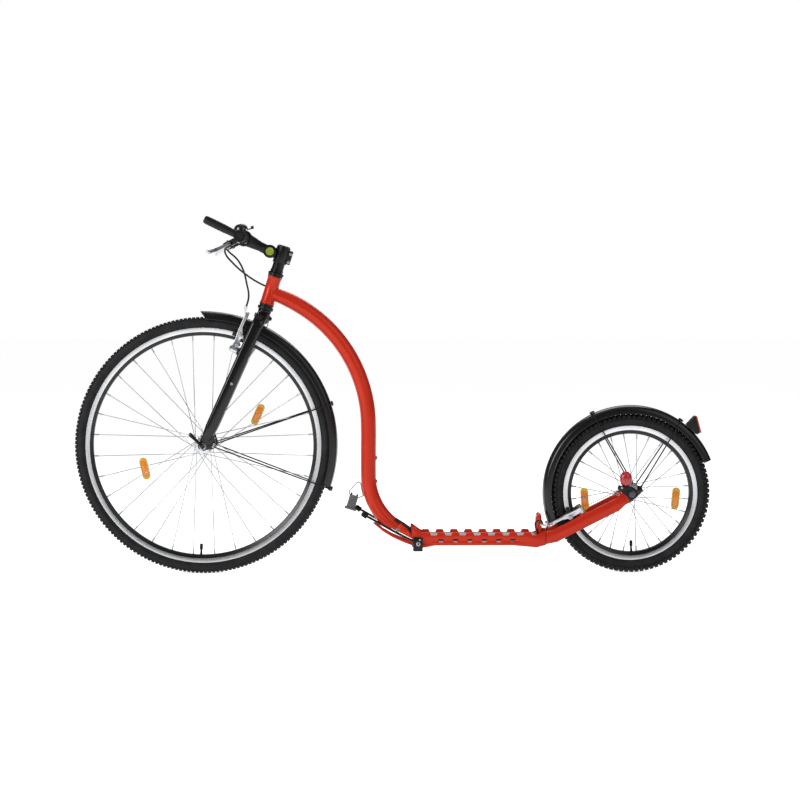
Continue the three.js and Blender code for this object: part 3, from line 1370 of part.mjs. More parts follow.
// Brake cables: the points are chosen by hand, in the bike's own frame before it is centred
const housingRadius = 2.5;
function legPoint(s, f, y) {
  const point = at(-f, y, s).applyAxisAngle(at(0, 1, 0), forkLegTilt);
  return point.add(at(0, 0, frontTyreRadius));
}
function armPoint(s, f, y) {
  const point = at(-s, y, f).applyAxisAngle(at(0, 1, 0), -rearArmTilt);
  return point.add(at(wheelbase, 0, rearTyreRadius));
}
const noodleY = postY + armWidth / 2 + gap;
const barrelMouth = at(barrelX, barrelEnd - gap, 0).applyAxisAngle(at(0, 1, 0), leverDrop);
barrelMouth.add(at(barX, 0, barZ));
const frontCable = [
  at(barrelMouth.x, -barrelMouth.y, barrelMouth.z), at(barrelMouth.x, -66, barrelMouth.z),
  at(62, -50, 883), at(72, -36, 870),
  at(92, -30, 852), at(108, -32, 825), at(118, -42, 785), at(122, -54, 752),
  legPoint(398, 46, -61), legPoint(382, 41, -60), legPoint(372, 38, -55), legPoint(371, 37.5, -noodleY),
];
add(bike, "front_brake_cable", smoothTube(frontCable, housingRadius, 8, 24), blackRubber());
const rearCableFront = [
  barrelMouth, at(barrelMouth.x, 66, barrelMouth.z),
  at(58, 52, 881), at(58, 42, 868), at(78, 37, 842), at(117, 34, 808),
  at(154, 32, 785), at(184, 34, 772), at(210, 38, 758), at(226, 39, 747),
  at(cablePort.x, 34, cablePort.z + 1), at(cablePort.x, cablePort.y + gap, cablePort.z),
];
add(bike, "rear_brake_cable_front", smoothTube(rearCableFront, housingRadius, 8, 26), blackRubber());
const rearCableRear = [
  at(903.2, -41.2, plateTop + 2 * gap), at(903, -41.3, plateTop + 9), at(898, -44, plateTop + 24),
  at(899, -51, plateTop + 37), at(911, -57, plateTop + 41), armPoint(252, 33, -60), armPoint(243, 27, -58),
  armPoint(236.5, 24.7, -52), armPoint(236, 24.5, -noodleY),
];
add(bike, "rear_brake_cable_rear", smoothTube(rearCableRear, housingRadius, 8, 20), blackRubber());

// Rear reflector on the mudguard, a wedge with a lens on its back
const reflectorHalf = 24;
const reflectorHeight = 34.3;
const reflectorLens = 4;
const reflectorShares = [[0.03, 50.25], [1, 49.85], [0.31, 41], [0.03, 41.5]];
const reflectorPoints = reflectorShares.map(([share, angle]) => polar(
  guards.rear.radius + share * reflectorHeight, THREE.MathUtils.degToRad(angle)));
const [, lensTop, lensFoot] = reflectorPoints;
const lensShape = new THREE.Shape([
  new THREE.Vector2(lensTop.x + 2 * gap, lensTop.y), new THREE.Vector2(lensTop.x + reflectorLens, lensTop.y),
  new THREE.Vector2(lensFoot.x + reflectorLens, lensFoot.y),
  new THREE.Vector2(lensFoot.x + 2 * gap, lensFoot.y),
]);
const housingShape = new THREE.Shape(reflectorPoints);
const reflectorPlate = (shape) => sidePlate(shape, -reflectorHalf, reflectorHalf);
add(rearGuardGroup, "rear_reflector_housing", reflectorPlate(housingShape), blackPlastic());
add(rearGuardGroup, "rear_reflector_lens", reflectorPlate(lensShape), redLens());

// Rear lamp beside the near dropout, on a bracket held by the axle nut
const lampPlateFrom = axle.dropoutInner + axle.dropoutWidth + gap;
const lampPlateWidth = 3;
const lampGroup = groupAt(bike, wheelbase, rearTyreRadius);
const lampRadius = 16.5;
const lampDepth = 20;
const lampX = -18;
const lampZ = 37;
const lampBack = 2;
const lampLap = 1;
const bracketRadius = 14.5;
const bracketKnee = 14;
const shelfBack = 40;
const shelfLean = 2;
const shelfFront = 2;
const shelfBackTop = 24;
const shelfFrontTop = 20;
const shelfBackLow = 14;
const shelfFrontLow = 12;
const lampShares = [[0, 1], [0.5, 0.925], [0.85, 0.7], [1, 0.4]];
const bracket = new THREE.Shape();
bracket.absarc(0, 0, bracketRadius, THREE.MathUtils.degToRad(60), THREE.MathUtils.degToRad(210), true);
bracket.lineTo(-shelfBack, shelfBackLow);
bracket.lineTo(shelfLean - shelfBack, shelfBackTop);
bracket.lineTo(-bracketKnee, shelfFrontTop);
bracket.closePath();
const bracketHole = new THREE.Path();
bracketHole.absarc(0, 0, axle.capRadius + gap, 0, 2 * Math.PI, false);
bracket.holes.push(bracketHole);
const shelf = new THREE.Shape([
  new THREE.Vector2(-shelfBack, shelfBackLow), new THREE.Vector2(shelfLean - shelfBack, shelfBackTop),
  new THREE.Vector2(-shelfFront, shelfFrontTop), new THREE.Vector2(-shelfFront, shelfFrontLow),
]);
add(lampGroup, "rear_lamp_base", joined(
  sidePlate(bracket, -lampPlateFrom - lampPlateWidth, -lampPlateFrom, 10),
  sidePlate(shelf, -lampPlateFrom - lampDepth, -lampPlateFrom - lampPlateWidth + lampLap),
), blackPlastic());
const lampFoot = -lampPlateFrom - lampPlateWidth - lampBack;
const lampLens = revolve([
  ...lampShares.map(([out, deep]) => [out * lampRadius, -lampPlateFrom - deep * lampDepth]),
  [lampRadius, lampFoot], [0, lampFoot],
], 20);
lampLens.translate(lampX, 0, lampZ);
const belowShelf = new THREE.Shape([
  new THREE.Vector2(-2 * shelfBack, 0), new THREE.Vector2(-2 * shelfBack, shelfBackTop + gap),
  new THREE.Vector2(shelfLean - shelfBack, shelfBackTop + gap),
  new THREE.Vector2(-shelfFront, shelfFrontTop + gap), new THREE.Vector2(shelfBack, shelfFrontTop + gap),
  new THREE.Vector2(shelfBack, 0),
]);
add(lampGroup, "rear_lamp_lens", cut(
  lampLens, sidePlate(belowShelf, -lampPlateFrom - 2 * lampDepth, 0)), redLens());

// Folding stand: a cross bar through both rails, a block and a leg outside each, rubber feet
const standBlockY = deckHalfWidth + gap;
const standBlockWidth = 12;
const standBlockFront = 14;
const standBlockBack = 12;
const standBlockBelow = 20;
const standBlockAbove = 18;
const standRodRadius = 3.2;
const standRodForward = 4;
const standRodRise = 3;
const standElbowReach = 44;
const standElbowRise = 7;
const standElbowInset = 5;
const standFootY = 30;
const standFootHalf = 7;
const standFootTurn = THREE.MathUtils.degToRad(35);
const standBarLap = 2;
const standFeet = { left: { reach: 131.3, rise: 54.4 }, right: { reach: 148.4, rise: 68 } };
const standPieces = sides.flatMap(([name, side]) => {
  const [minY, maxY] = side > 0
    ? [standBlockY, standBlockY + standBlockWidth] : [-standBlockY - standBlockWidth, -standBlockY];
  const legStart = at(
    standPivotX - standRodForward, side * (standBlockY + standBlockWidth / 2), standPivotZ + standRodRise);
  const elbow = at(
    deckFrontX - standElbowReach, side * (deckHalfWidth - standElbowInset), deckHeight + standElbowRise);
  const { reach, rise } = standFeet[name];
  const end = at(deckFrontX - reach, side * standFootY, deckHeight + rise);
  const half = standFootHalf;
  const foot = block(-half, half, -half, half, -half, half);
  foot.rotateY(standFootTurn);
  foot.translate(end.x, end.y, end.z);
  return [
    block(
      standPivotX - standBlockFront, standPivotX + standBlockBack, minY, maxY,
      standPivotZ - standBlockBelow, standPivotZ + standBlockAbove),
    bent([legStart, elbow, end], standRodRadius, 10),
    foot,
  ];
});
const standBar = rod(
  at(standPivotX, -standBlockY - standBarLap, standPivotZ),
  at(standPivotX, standBlockY + standBarLap, standPivotZ),
  standBarRadius, standBarSides);
add(bike, "folding_stand", joined(standBar, ...standPieces), blackPaint());

// Rubber bumper on a wire bail clipped to the front of the tube
const bailRadius = 1.6;
const bumperForward = 18;
const bumperDrop = 53;
const bumperHeight = 38;
const bumperFoot = 34;
const bumperLip = 2;
const bumperHalfX = 12;
const bumperHalfY = 10;
const bumperFlareX = 4;
const bumperFlareY = 2;
const bumperFall = THREE.MathUtils.degToRad(17);
const bailDrops = [18, 40, 55];
const bumperX = mainDropX - mainTubeRadius - bumperForward;
const bumperZ = lowerBendZ - bumperDrop;
const bumperPieces = [
  block(-bumperHalfX, bumperHalfX, -bumperHalfY, bumperHalfY, -bumperHeight, 0),
  block(
    -bumperHalfX - bumperFlareX, bumperHalfX + bumperFlareX, -bumperHalfY - bumperFlareY,
    bumperHalfY + bumperFlareY, -bumperHeight - bumperLip, -bumperFoot),
];
for (const piece of bumperPieces) {
  piece.rotateY(bumperFall);
  piece.translate(bumperX, 0, bumperZ);
}
const bailAlongTube = bailDrops.map((drop) => {
  const lean = lowerBendRadius - Math.sqrt(lowerBendRadius * lowerBendRadius - drop * drop);
  return at(mainDropX + lean - mainTubeRadius - 2 * gap - bailRadius, 0, lowerBendZ - drop);
});
const bailShares = [[-0.26, -0.08], [-0.39, 0.29], [0.21, 0.92]];
const bailEndShares = [0.16, -0.21];
const bailPlace = ([back, up]) => at(bumperX + back * bumperHeight, 0, bumperZ + up * bumperHeight);
const bail = bent([...bailShares.map(bailPlace), ...bailAlongTube, bailPlace(bailEndShares)], bailRadius, 4);
add(bike, "bumper_and_bail", joined(...bumperPieces, bail), greyRubber());

const extent = new THREE.Box3().setFromObject(bike, true);
bike.position.x = -(extent.min.x + extent.max.x) / 2;

export default bike;
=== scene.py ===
"""Kick bike: each visible piece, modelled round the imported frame. Object lengths are metres; MM turns millimetres."""

import json
import math

import bpy
from mathutils import Matrix, Vector

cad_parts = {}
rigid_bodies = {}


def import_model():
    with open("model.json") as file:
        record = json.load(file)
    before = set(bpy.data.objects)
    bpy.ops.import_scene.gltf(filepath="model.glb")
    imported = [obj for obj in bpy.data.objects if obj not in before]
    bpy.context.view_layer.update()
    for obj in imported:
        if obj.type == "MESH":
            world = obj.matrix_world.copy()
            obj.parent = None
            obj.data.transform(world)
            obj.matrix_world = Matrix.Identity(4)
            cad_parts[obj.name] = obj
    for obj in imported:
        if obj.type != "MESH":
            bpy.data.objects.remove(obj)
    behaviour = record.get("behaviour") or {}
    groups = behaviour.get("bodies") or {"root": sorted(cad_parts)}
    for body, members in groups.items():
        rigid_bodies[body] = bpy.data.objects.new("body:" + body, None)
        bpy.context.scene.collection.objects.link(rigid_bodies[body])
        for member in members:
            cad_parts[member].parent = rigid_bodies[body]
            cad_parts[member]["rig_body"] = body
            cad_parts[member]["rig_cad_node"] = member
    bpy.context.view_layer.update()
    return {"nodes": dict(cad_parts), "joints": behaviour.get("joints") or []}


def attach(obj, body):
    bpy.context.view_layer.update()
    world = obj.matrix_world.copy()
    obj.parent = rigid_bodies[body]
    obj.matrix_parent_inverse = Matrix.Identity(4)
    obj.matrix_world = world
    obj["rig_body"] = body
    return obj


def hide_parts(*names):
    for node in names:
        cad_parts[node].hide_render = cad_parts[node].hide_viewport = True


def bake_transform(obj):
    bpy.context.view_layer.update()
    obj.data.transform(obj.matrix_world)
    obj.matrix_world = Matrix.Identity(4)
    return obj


bl_info = {
    "name": "Kick Bike",
    "version": (1, 0, 0),
    "blender": (4, 5, 0),
    "location": "View3D > Sidebar > Kick Bike",
    "description": "Builds a kick bike piece by piece round its packed frame",
    "category": "Add Mesh",
}

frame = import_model()

MM = 0.001
QUARTER = math.pi / 2
ACROSS = Matrix.Rotation(-QUARTER, 4, "X")
SIDEWAYS = Matrix.Rotation(QUARTER, 4, "X")
FORWARD = Matrix.Rotation(-QUARTER, 4, "Y")
SIDES = (("left", -1), ("right", 1))
FRAME, STEERING = "frame", "steering_assembly"

joint_place = {joint["name"]: Vector(joint["pos_m"]) for joint in frame["joints"]}
FRONT_HUB = joint_place["front_wheel_spin"]
REAR_HUB = joint_place["rear_wheel_spin"]
FRONT_RADIUS = 348
REAR_RADIUS = 217.5
WHEELBASE = 1158
BAR_X, BAR_Z = 110, 908


def spot(x, y, z):
    """A place in millimetres behind the front hub, to the rider's right and above the floor."""
    return Vector((FRONT_HUB.x + x * MM, y * MM, z * MM))


def tilted(x, z, degrees=0.0):
    """A local frame in the bike's middle plane, turned about the crosswise axis."""
    return Matrix.Translation(spot(x, 0, z)) @ Matrix.Rotation(math.radians(degrees), 4, "Y")


def inside(place, x, y, z):
    """A point of a local frame, in millimetres there, as a place of the whole bike."""
    return place @ (Vector((x, y, z)) * MM)


def run(place, points):
    return [inside(place, *point) for point in points]


def at_point(place, x, y, z, lean=0.0):
    """A local frame moved to a point of its own, and turned there about the crosswise axis."""
    return place @ Matrix.Translation((x * MM, y * MM, z * MM)) @ Matrix.Rotation(math.radians(lean), 4, "Y")


def looking(start, end):
    """A frame at one place whose Z looks at another."""
    return Matrix.Translation(start) @ (end - start).to_track_quat("Z", "Y").to_matrix().to_4x4()


bike_frame = tilted(0, 0)
front_wheel_frame = tilted(0, FRONT_RADIUS)
rear_wheel_frame = tilted(WHEELBASE, REAR_RADIUS)
steering_frame = tilted(157.4, 683.6, 17)
leg_frame = tilted(0, FRONT_RADIUS, 24.3)
arm_frame = tilted(WHEELBASE, REAR_RADIUS, -26.6)
bar_frame = tilted(BAR_X, BAR_Z)
lever_frame = tilted(BAR_X, BAR_Z, -26)
bell_frame = tilted(BAR_X, BAR_Z, -12)
horn_frame = tilted(BAR_X, BAR_Z, 26)
stem_frame = tilted(180.5, 872.5, 26.7)
bumper_frame = tilted(407.9, 211, 17)


def polar(radius, degrees):
    angle = math.radians(degrees)
    return radius * math.cos(angle), radius * math.sin(angle)


def arc(centre_x, centre_y, radius, start, end, steps):
    """Points on an arc, angles in degrees."""
    turns = [polar(radius, start + (end - start) * step / steps) for step in range(steps + 1)]
    return [(centre_x + x, centre_y + y) for x, y in turns]


def slot_hole(x, y, reach, radius, steps):
    """The outline of a long hole with round ends, whose centres lie at x - reach and x + reach."""
    return arc(x + reach, y, radius, -90, 90, steps) + arc(x - reach, y, radius, 90, 270, steps)


def on_side(side, outline):
    """An outline of (radius, y) on the rider's right, or mirrored to the left."""
    return [(radius, side * y) for radius, y in outline]


def bent(points, reach, steps=5):
    """A row of places with its corners rounded."""
    path = [points[0]]
    for before, corner, after in zip(points, points[1:], points[2:]):
        back, on = before - corner, after - corner
        run_up = min(reach * MM, back.length * 0.45, on.length * 0.45)
        start, end = corner + back.normalized() * run_up, corner + on.normalized() * run_up
        for step in range(steps + 1):
            share = step / steps
            path.append(start.lerp(corner, share).lerp(corner.lerp(end, share), share))
    return path + [points[-1]]


# Modelling steps that several pieces share


def object_mode():
    bpy.ops.object.mode_set(mode="OBJECT")


def start_clean():
    """Object mode with nothing selected, because operators act on all that is selected."""
    if bpy.context.object and bpy.context.object.mode != "OBJECT":
        object_mode()
    bpy.ops.object.select_all(action="DESELECT")


def pick(obj):
    start_clean()
    obj.select_set(True)
    bpy.context.view_layer.objects.active = obj


def edit(obj):
    pick(obj)
    bpy.ops.object.mode_set(mode="EDIT")
    bpy.ops.mesh.select_all(action="SELECT")


def added(name):
    """The object that an operator has just added, under a name."""
    obj = bpy.context.object
    obj.name = name
    return obj


def as_mesh(obj):
    pick(obj)
    bpy.ops.object.convert(target="MESH")
    return bpy.context.object


def settle(obj, place):
    """Puts a finished mesh at its place, with the object itself left at the origin."""
    pick(obj)
    obj.matrix_world = place @ obj.matrix_world
    bpy.ops.object.transform_apply(location=True, rotation=True, scale=True)
    return obj


def smooth(obj, degrees=35):
    pick(obj)
    bpy.ops.object.shade_smooth_by_angle(angle=math.radians(degrees))
    return obj


def apply_modifier(obj, kind, **settings):
    pick(obj)
    modifier = obj.modifiers.new(kind.lower(), kind)
    for name, value in settings.items():
        setattr(modifier, name, value)
    bpy.ops.object.modifier_apply(modifier=modifier.name)
    return obj


def soften(obj, width, segments=2, degrees=30):
    """Rounds the sharp edges by a width in millimetres."""
    return apply_modifier(
        obj, "BEVEL", width=width * MM, segments=segments, limit_method="ANGLE", angle_limit=math.radians(degrees))


def face_out(obj):
    edit(obj)
    bpy.ops.mesh.remove_doubles(threshold=0.005 * MM)
    bpy.ops.mesh.normals_make_consistent(inside=False)
    object_mode()
    return obj


def turned(name, outline, place, sides=48, degrees=35):
    """A body turned on a lathe about local Z. The outline lists (radius, height) in millimetres: it starts
    and ends on the axis, or runs once round the section of a ring."""
    start_clean()
    on_axis = outline[0][0] == 0
    rings = [point for point in outline if point[0] > 0] if on_axis else outline + outline[:1]
    radius, height = rings[0]
    bpy.ops.mesh.primitive_circle_add(
        vertices=sides, radius=radius * MM, location=(0, 0, height * MM), fill_type="NGON" if on_axis else "NOTHING")
    obj = added(name)
    edit(obj)
    for next_radius, next_height in rings[1:]:
        rise = (0, 0, (next_height - height) * MM)
        if on_axis:
            bpy.ops.mesh.extrude_region_move(TRANSFORM_OT_translate={"value": (0, 0, 0)})
            bpy.ops.transform.translate(value=rise)
        else:
            bpy.ops.mesh.extrude_edges_move(TRANSFORM_OT_translate={"value": rise})
        share = next_radius / radius
        bpy.ops.transform.resize(value=(share, share, 1), center_override=(0, 0, next_height * MM))
        radius, height = next_radius, next_height
    object_mode()
    return smooth(settle(face_out(obj), place), degrees)


def rod(name, place, start, end, radius):
    """A straight turned bar between two points, with its ends chamfered."""
    first, last = run(place, (start, end))
    length, chamfer = (last - first).length / MM, 0.4
    outline = [(0, 0), (radius - chamfer, 0), (radius, chamfer), (radius, length - chamfer),
               (radius - chamfer, length), (0, length)]
    return turned(name, outline, looking(first, last), 32)


def pipe(name, points, radius, rim=4, steps=8, radii=None, caps=True):
    """A smooth tube along a row of places; radii gives its share of the radius at each."""
    start_clean()
    bpy.ops.curve.primitive_bezier_curve_add(location=(0, 0, 0))
    obj = added(name)
    curve = obj.data
    curve.dimensions = "3D"
    curve.use_fill_caps = caps
    curve.bevel_depth = radius * MM
    curve.bevel_resolution = rim
    spline = curve.splines[0]
    spline.resolution_u = steps
    spline.bezier_points.add(len(points) - 2)
    for knot, point, share in zip(spline.bezier_points, points, radii or [1] * len(points)):
        knot.co = point
        knot.handle_left_type = knot.handle_right_type = "VECTOR" if steps == 1 else "AUTO"
        knot.radius = share
    return smooth(face_out(as_mesh(obj)), 40)


def section(name, *outlines):
    """A flat curve of closed outlines, in millimetres."""
    start_clean()
    bpy.ops.curve.primitive_bezier_circle_add(location=(0, 0, 0))
    obj = added(name)
    obj.data.splines.clear()
    for outline in outlines:
        spline = obj.data.splines.new("POLY")
        spline.points.add(len(outline) - 1)
        for point, (x, y) in zip(spline.points, outline):
            point.co = (x * MM, y * MM, 0, 1)
        spline.use_cyclic_u = True
    return obj


def plate(name, place, outlines, thickness, edge=0.6, degrees=35):
    """A flat plate: the first outline is its edge and the rest are holes, in millimetres, x along and y up.
    It is centred on the local plane and its edges are rounded."""
    obj = section(name, *outlines)
    curve = obj.data
    curve.dimensions = "2D"
    curve.fill_mode = "BOTH"
    curve.extrude = (thickness / 2 - edge) * MM
    curve.bevel_depth = edge * MM
    curve.bevel_resolution = 1
    curve.offset = -edge * MM
    return smooth(settle(face_out(as_mesh(obj)), place @ SIDEWAYS), degrees)


def block(name, place, low, high, edge=1.0, segments=2):
    """A solid block between two corners, in millimetres, with its edges rounded."""
    start_clean()
    middle = [(a + b) / 2 * MM for a, b in zip(low, high)]
    size = [(b - a) * MM for a, b in zip(low, high)]
    bpy.ops.mesh.primitive_cube_add(size=1, location=middle, scale=size)
    obj = added(name)
    bpy.ops.object.transform_apply(location=True, rotation=True, scale=True)
    edit(obj)
    bpy.ops.mesh.bevel(offset=edge * MM, segments=segments, affect="EDGES")
    object_mode()
    return smooth(settle(obj, place))


def spun(name, outline, place, start, end):
    """A closed section, given as (radius, y), spun round local Y from one angle to another, ends closed."""
    obj = as_mesh(section(name, outline))
    settle(obj, Matrix.Rotation(math.radians(-start), 4, "Y"))
    edit(obj)
    bpy.ops.mesh.spin(
        steps=round(abs(start - end)), angle=math.radians(start - end), center=(0, 0, 0), axis=(0, -1, 0))
    bpy.ops.mesh.select_all(action="DESELECT")
    bpy.ops.mesh.select_mode(type="VERT")
    bpy.ops.mesh.select_non_manifold()
    bpy.ops.mesh.fill_holes(sides=0)
    object_mode()
    return smooth(settle(face_out(obj), place), 30)


def carve(obj, tool):
    """Cuts one piece's shape out of another and removes the cutter."""
    apply_modifier(obj, "BOOLEAN", operation="DIFFERENCE", solver="EXACT", object=tool)
    bpy.data.objects.remove(tool)
    return obj


def cut_below(obj, point, up):
    """Cuts away what lies under a plane, and closes the cut."""
    edit(obj)
    bpy.ops.mesh.bisect(plane_co=point, plane_no=up, use_fill=True, clear_inner=True)
    object_mode()
    return obj


def copy_of(obj, name, place):
    """A copy with a mesh of its own, moved by a matrix."""
    pick(obj)
    bpy.ops.object.duplicate()
    return settle(added(name), place)


def fuse(name, *parts):
    """Joins several meshes into one piece."""
    pick(parts[0])
    for part in parts[1:]:
        part.select_set(True)
    bpy.ops.object.join()
    return added(name)


def cad_copy(node, name, edge=0.5, degrees=35):
    """A copy of a CAD node with its triangles merged, its edges rounded and its faces smooth."""
    pick(frame["nodes"][node])
    bpy.ops.object.duplicate()
    obj = added(name)
    bpy.ops.object.parent_clear(type="CLEAR_KEEP_TRANSFORM")
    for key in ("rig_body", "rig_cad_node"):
        del obj[key]
    edit(obj)
    bpy.ops.mesh.remove_doubles(threshold=0.01 * MM)
    bpy.ops.mesh.dissolve_limited(angle_limit=math.radians(1))
    object_mode()
    if edge:
        soften(obj, edge, 3, degrees)
    return smooth(obj, degrees)


def finish(obj, look, body, *nodes, slot=None):
    """Gives a piece its look and body, and hides the CAD nodes that it stands for. Its slot is not used."""
    if look is not None:
        obj.data.materials.clear()
        obj.data.materials.append(FINISHES[look])
    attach(obj, body)
    if nodes:
        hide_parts(*nodes)
    return obj


def recast(node, ending, look, body, edge, degrees):
    """A finished piece made from a copy of the CAD node that it stands for, named after it with an ending."""
    return finish(cad_copy(node, f"{node}_{ending}", edge, degrees), look, body, node)


def paint_faces(obj, look, wanted):
    """Adds a second look to the faces that pass a test."""
    obj.data.materials.append(FINISHES[look])
    number = len(obj.data.materials) - 1
    for face in obj.data.polygons:
        if wanted(face):
            face.material_index = number


SCREW = {}


def screw_shape(name, place, start, towards, radius, height):
    """A cap screw whose head stands on start and looks towards a second point: one model, copied at each size."""
    if "model" not in SCREW:
        unit = Matrix.Scale(1 / MM, 4)
        head = turned("screw_model", [
            (0, -0.6), (0.55, -0.6), (0.55, 0), (0.92, 0), (1, 0.08), (1, 0.82), (0.88, 0.95), (0.62, 1), (0, 1),
        ], unit, 24, 30)
        socket = turned("screw_socket", [(0, 0.42), (0.5, 0.42), (0.5, 1.2), (0, 1.2)], unit, 6, 30)
        SCREW["model"] = smooth(carve(head, socket), 30)
    size = Matrix.Diagonal((radius * MM, radius * MM, height * MM, 1))
    return copy_of(SCREW["model"], name, looking(*run(place, (start, towards))) @ size)


def screw(name, body, *shape):
    return finish(screw_shape(name, *shape), "zinc steel", body)


def weld(name, points, width=1.5):
    """A closed bead of weld, rippled along its length."""
    ripple = [1 if number % 2 else 0.82 for number in range(len(points))]
    return pipe(name, points + points[:1], width, 2, 2, radii=ripple + ripple[:1], caps=False)


def make_group(*makers):
    """Makes one group of pieces, and then drops the screw model that they copied."""
    for make in makers:
        make()
    if "model" in SCREW:
        bpy.data.objects.remove(SCREW.pop("model"))
    return {"FINISHED"}


# Finishes

FINISHES, SLOTS = {}, {}
RUBBER = (0.01, 0.01, 0.011)
WAVE_SCALE = 0.314
BAND_PITCH = 0.8


def feed(tree, node, sockets):
    """Gives each socket of a shader node its number, its colour or another node's output."""
    for socket, value in sockets.items():
        if isinstance(value, bpy.types.NodeSocket):
            tree.links.new(value, node.inputs[socket])
        else:
            node.inputs[socket].default_value = value


def add_node(tree, kind, output, sockets, **settings):
    """Adds a shader node and returns one of its outputs."""
    node = tree.nodes.new(f"ShaderNode{kind}")
    for name, value in settings.items():
        setattr(node, name, value)
    feed(tree, node, sockets)
    return node.outputs[output]


def shade(material, sockets):
    feed(material.node_tree, material.node_tree.nodes["Principled BSDF"], sockets)


def own_coordinates(tree):
    return add_node(tree, "TexCoord", "Object", {})


def noise(tree, coords, scale, detail=3.0, stretch=(1, 1, 1)):
    """A noise texture on the piece's own coordinates, in turns per metre."""
    place = add_node(tree, "Mapping", "Vector", {"Vector": coords, "Scale": stretch})
    return add_node(tree, "TexNoise", "Fac", {"Vector": place, "Scale": scale, "Detail": detail})


def remap(tree, value, low, high, from_low=0.3, from_high=0.7):
    return add_node(tree, "MapRange", "Result", {
        "Value": value, "From Min": from_low, "From Max": from_high, "To Min": low, "To Max": high})


def mixed(tree, share, first, second):
    return add_node(tree, "Mix", "Result", {"A": (*first, 1), "B": (*second, 1), "Factor": share}, data_type="RGBA")


def bump(tree, height, depth, strength=1.0, under=None):
    """Small relief, with its depth in millimetres; under is the relief below it."""
    below = {} if under is None else {"Normal": under}
    return add_node(tree, "Bump", "Normal", {
        "Strength": strength, "Distance": depth * MM, "Height": height, **below})


def new_material(name):
    material = bpy.data.materials.new(name)
    material.use_nodes = True
    return material, material.node_tree


def surface(name, colour, roughness, metallic=0.0, coat=0.0, grain=900.0, relief=0.03, tint=0.12,
            spread=0.06, patches=14.0, stretch=(1, 1, 1), specular=0.5, glint=(1, 1, 1)):
    """A finish whose colour and gloss drift a little over the piece, with a fine grain of its own."""
    material, tree = new_material(name)
    coords = own_coordinates(tree)
    drift = noise(tree, coords, patches)
    fine = noise(tree, coords, grain, 4.0, stretch)
    darker = tuple(value * (1 - tint) for value in colour)
    lighter = tuple(min(1.0, value * (1 + tint)) for value in colour)
    shade(material, {
        "Metallic": metallic, "Coat Weight": coat, "Coat Roughness": 0.08, "Specular Tint": (*glint, 1),
        "Specular IOR Level": specular, "Base Color": mixed(tree, remap(tree, drift, 0, 1), darker, lighter),
        "Roughness": remap(tree, fine, max(0.03, roughness - spread), roughness + spread)})
    if relief:
        shade(material, {"Normal": bump(tree, fine, relief)})
    return material


def faceted(name, colour, cell, depth):
    """Reflector plastic: a clear face over rows of small prisms, with their size and depth in millimetres. The middle
    of each prism is painted lighter, a painted glint.
    """
    material = surface(name, colour, 0.12, coat=0.8, relief=0, tint=0.2, patches=60)
    tree = material.node_tree
    cells = add_node(tree, "TexVoronoi", "Distance", {
        "Vector": own_coordinates(tree), "Scale": 1 / (cell * MM), "Randomness": 0.15})
    # painted glint: a lighter colour for the middle of each prism
    bright = tuple(min(1.0, value * 1.9 + 0.01) for value in colour)
    shade(material, {
        "Normal": bump(tree, cells, depth),
        "Base Color": mixed(tree, remap(tree, cells, 0, 1, 0.1, 0.6), bright, colour)})
    return material


def brake_band(name, hub):
    """Turned alloy: fine rings round a wheel's axle. WAVE_SCALE puts a wave texture's rings a metre apart."""
    material = surface(name, (0.66, 0.67, 0.69), 0.3, metallic=1.0, relief=0, tint=0.08)
    tree = material.node_tree
    centred = add_node(tree, "Mapping", "Vector", {"Vector": own_coordinates(tree), "Location": -hub})
    rings = add_node(
        tree, "TexWave", "Fac", {"Vector": centred, "Scale": WAVE_SCALE / (BAND_PITCH * MM), "Distortion": 0.4},
        wave_type="RINGS", rings_direction="Y")
    shade(material, {"Normal": bump(tree, rings, 0.02, 0.6)})
    return material


def tyre_finish(name, hub, ribs):
    """Tyre rubber: dust in patches all over it, and fine radial ribs on the walls."""
    material = surface(name, RUBBER, 0.68, grain=700, relief=0.12, tint=0.25, patches=30, specular=0.25)
    tree = material.node_tree
    grain = tree.nodes["Bump"].outputs["Normal"]
    coords = own_coordinates(tree)
    dust = remap(tree, noise(tree, coords, 45.0, 6.0), 0, 1, 0.42, 0.75)
    dusty = tuple(value * 1.7 + 0.004 for value in RUBBER)
    centred = add_node(tree, "Mapping", "Vector", {"Vector": coords, "Location": -hub})
    upright = add_node(tree, "Mapping", "Vector", {"Vector": centred, "Rotation": (QUARTER, 0, 0)})
    turn = add_node(tree, "TexGradient", "Fac", {"Vector": upright}, gradient_type="RADIAL")
    repeat = add_node(tree, "Math", 0, {0: turn, 1: ribs * 2 * math.pi}, operation="MULTIPLY")
    wave = add_node(tree, "Math", 0, {0: repeat}, operation="SINE")
    shade(material, {
        "Base Color": mixed(tree, dust, RUBBER, dusty), "Normal": bump(tree, wave, 0.15, 0.5, grain)})
    return material


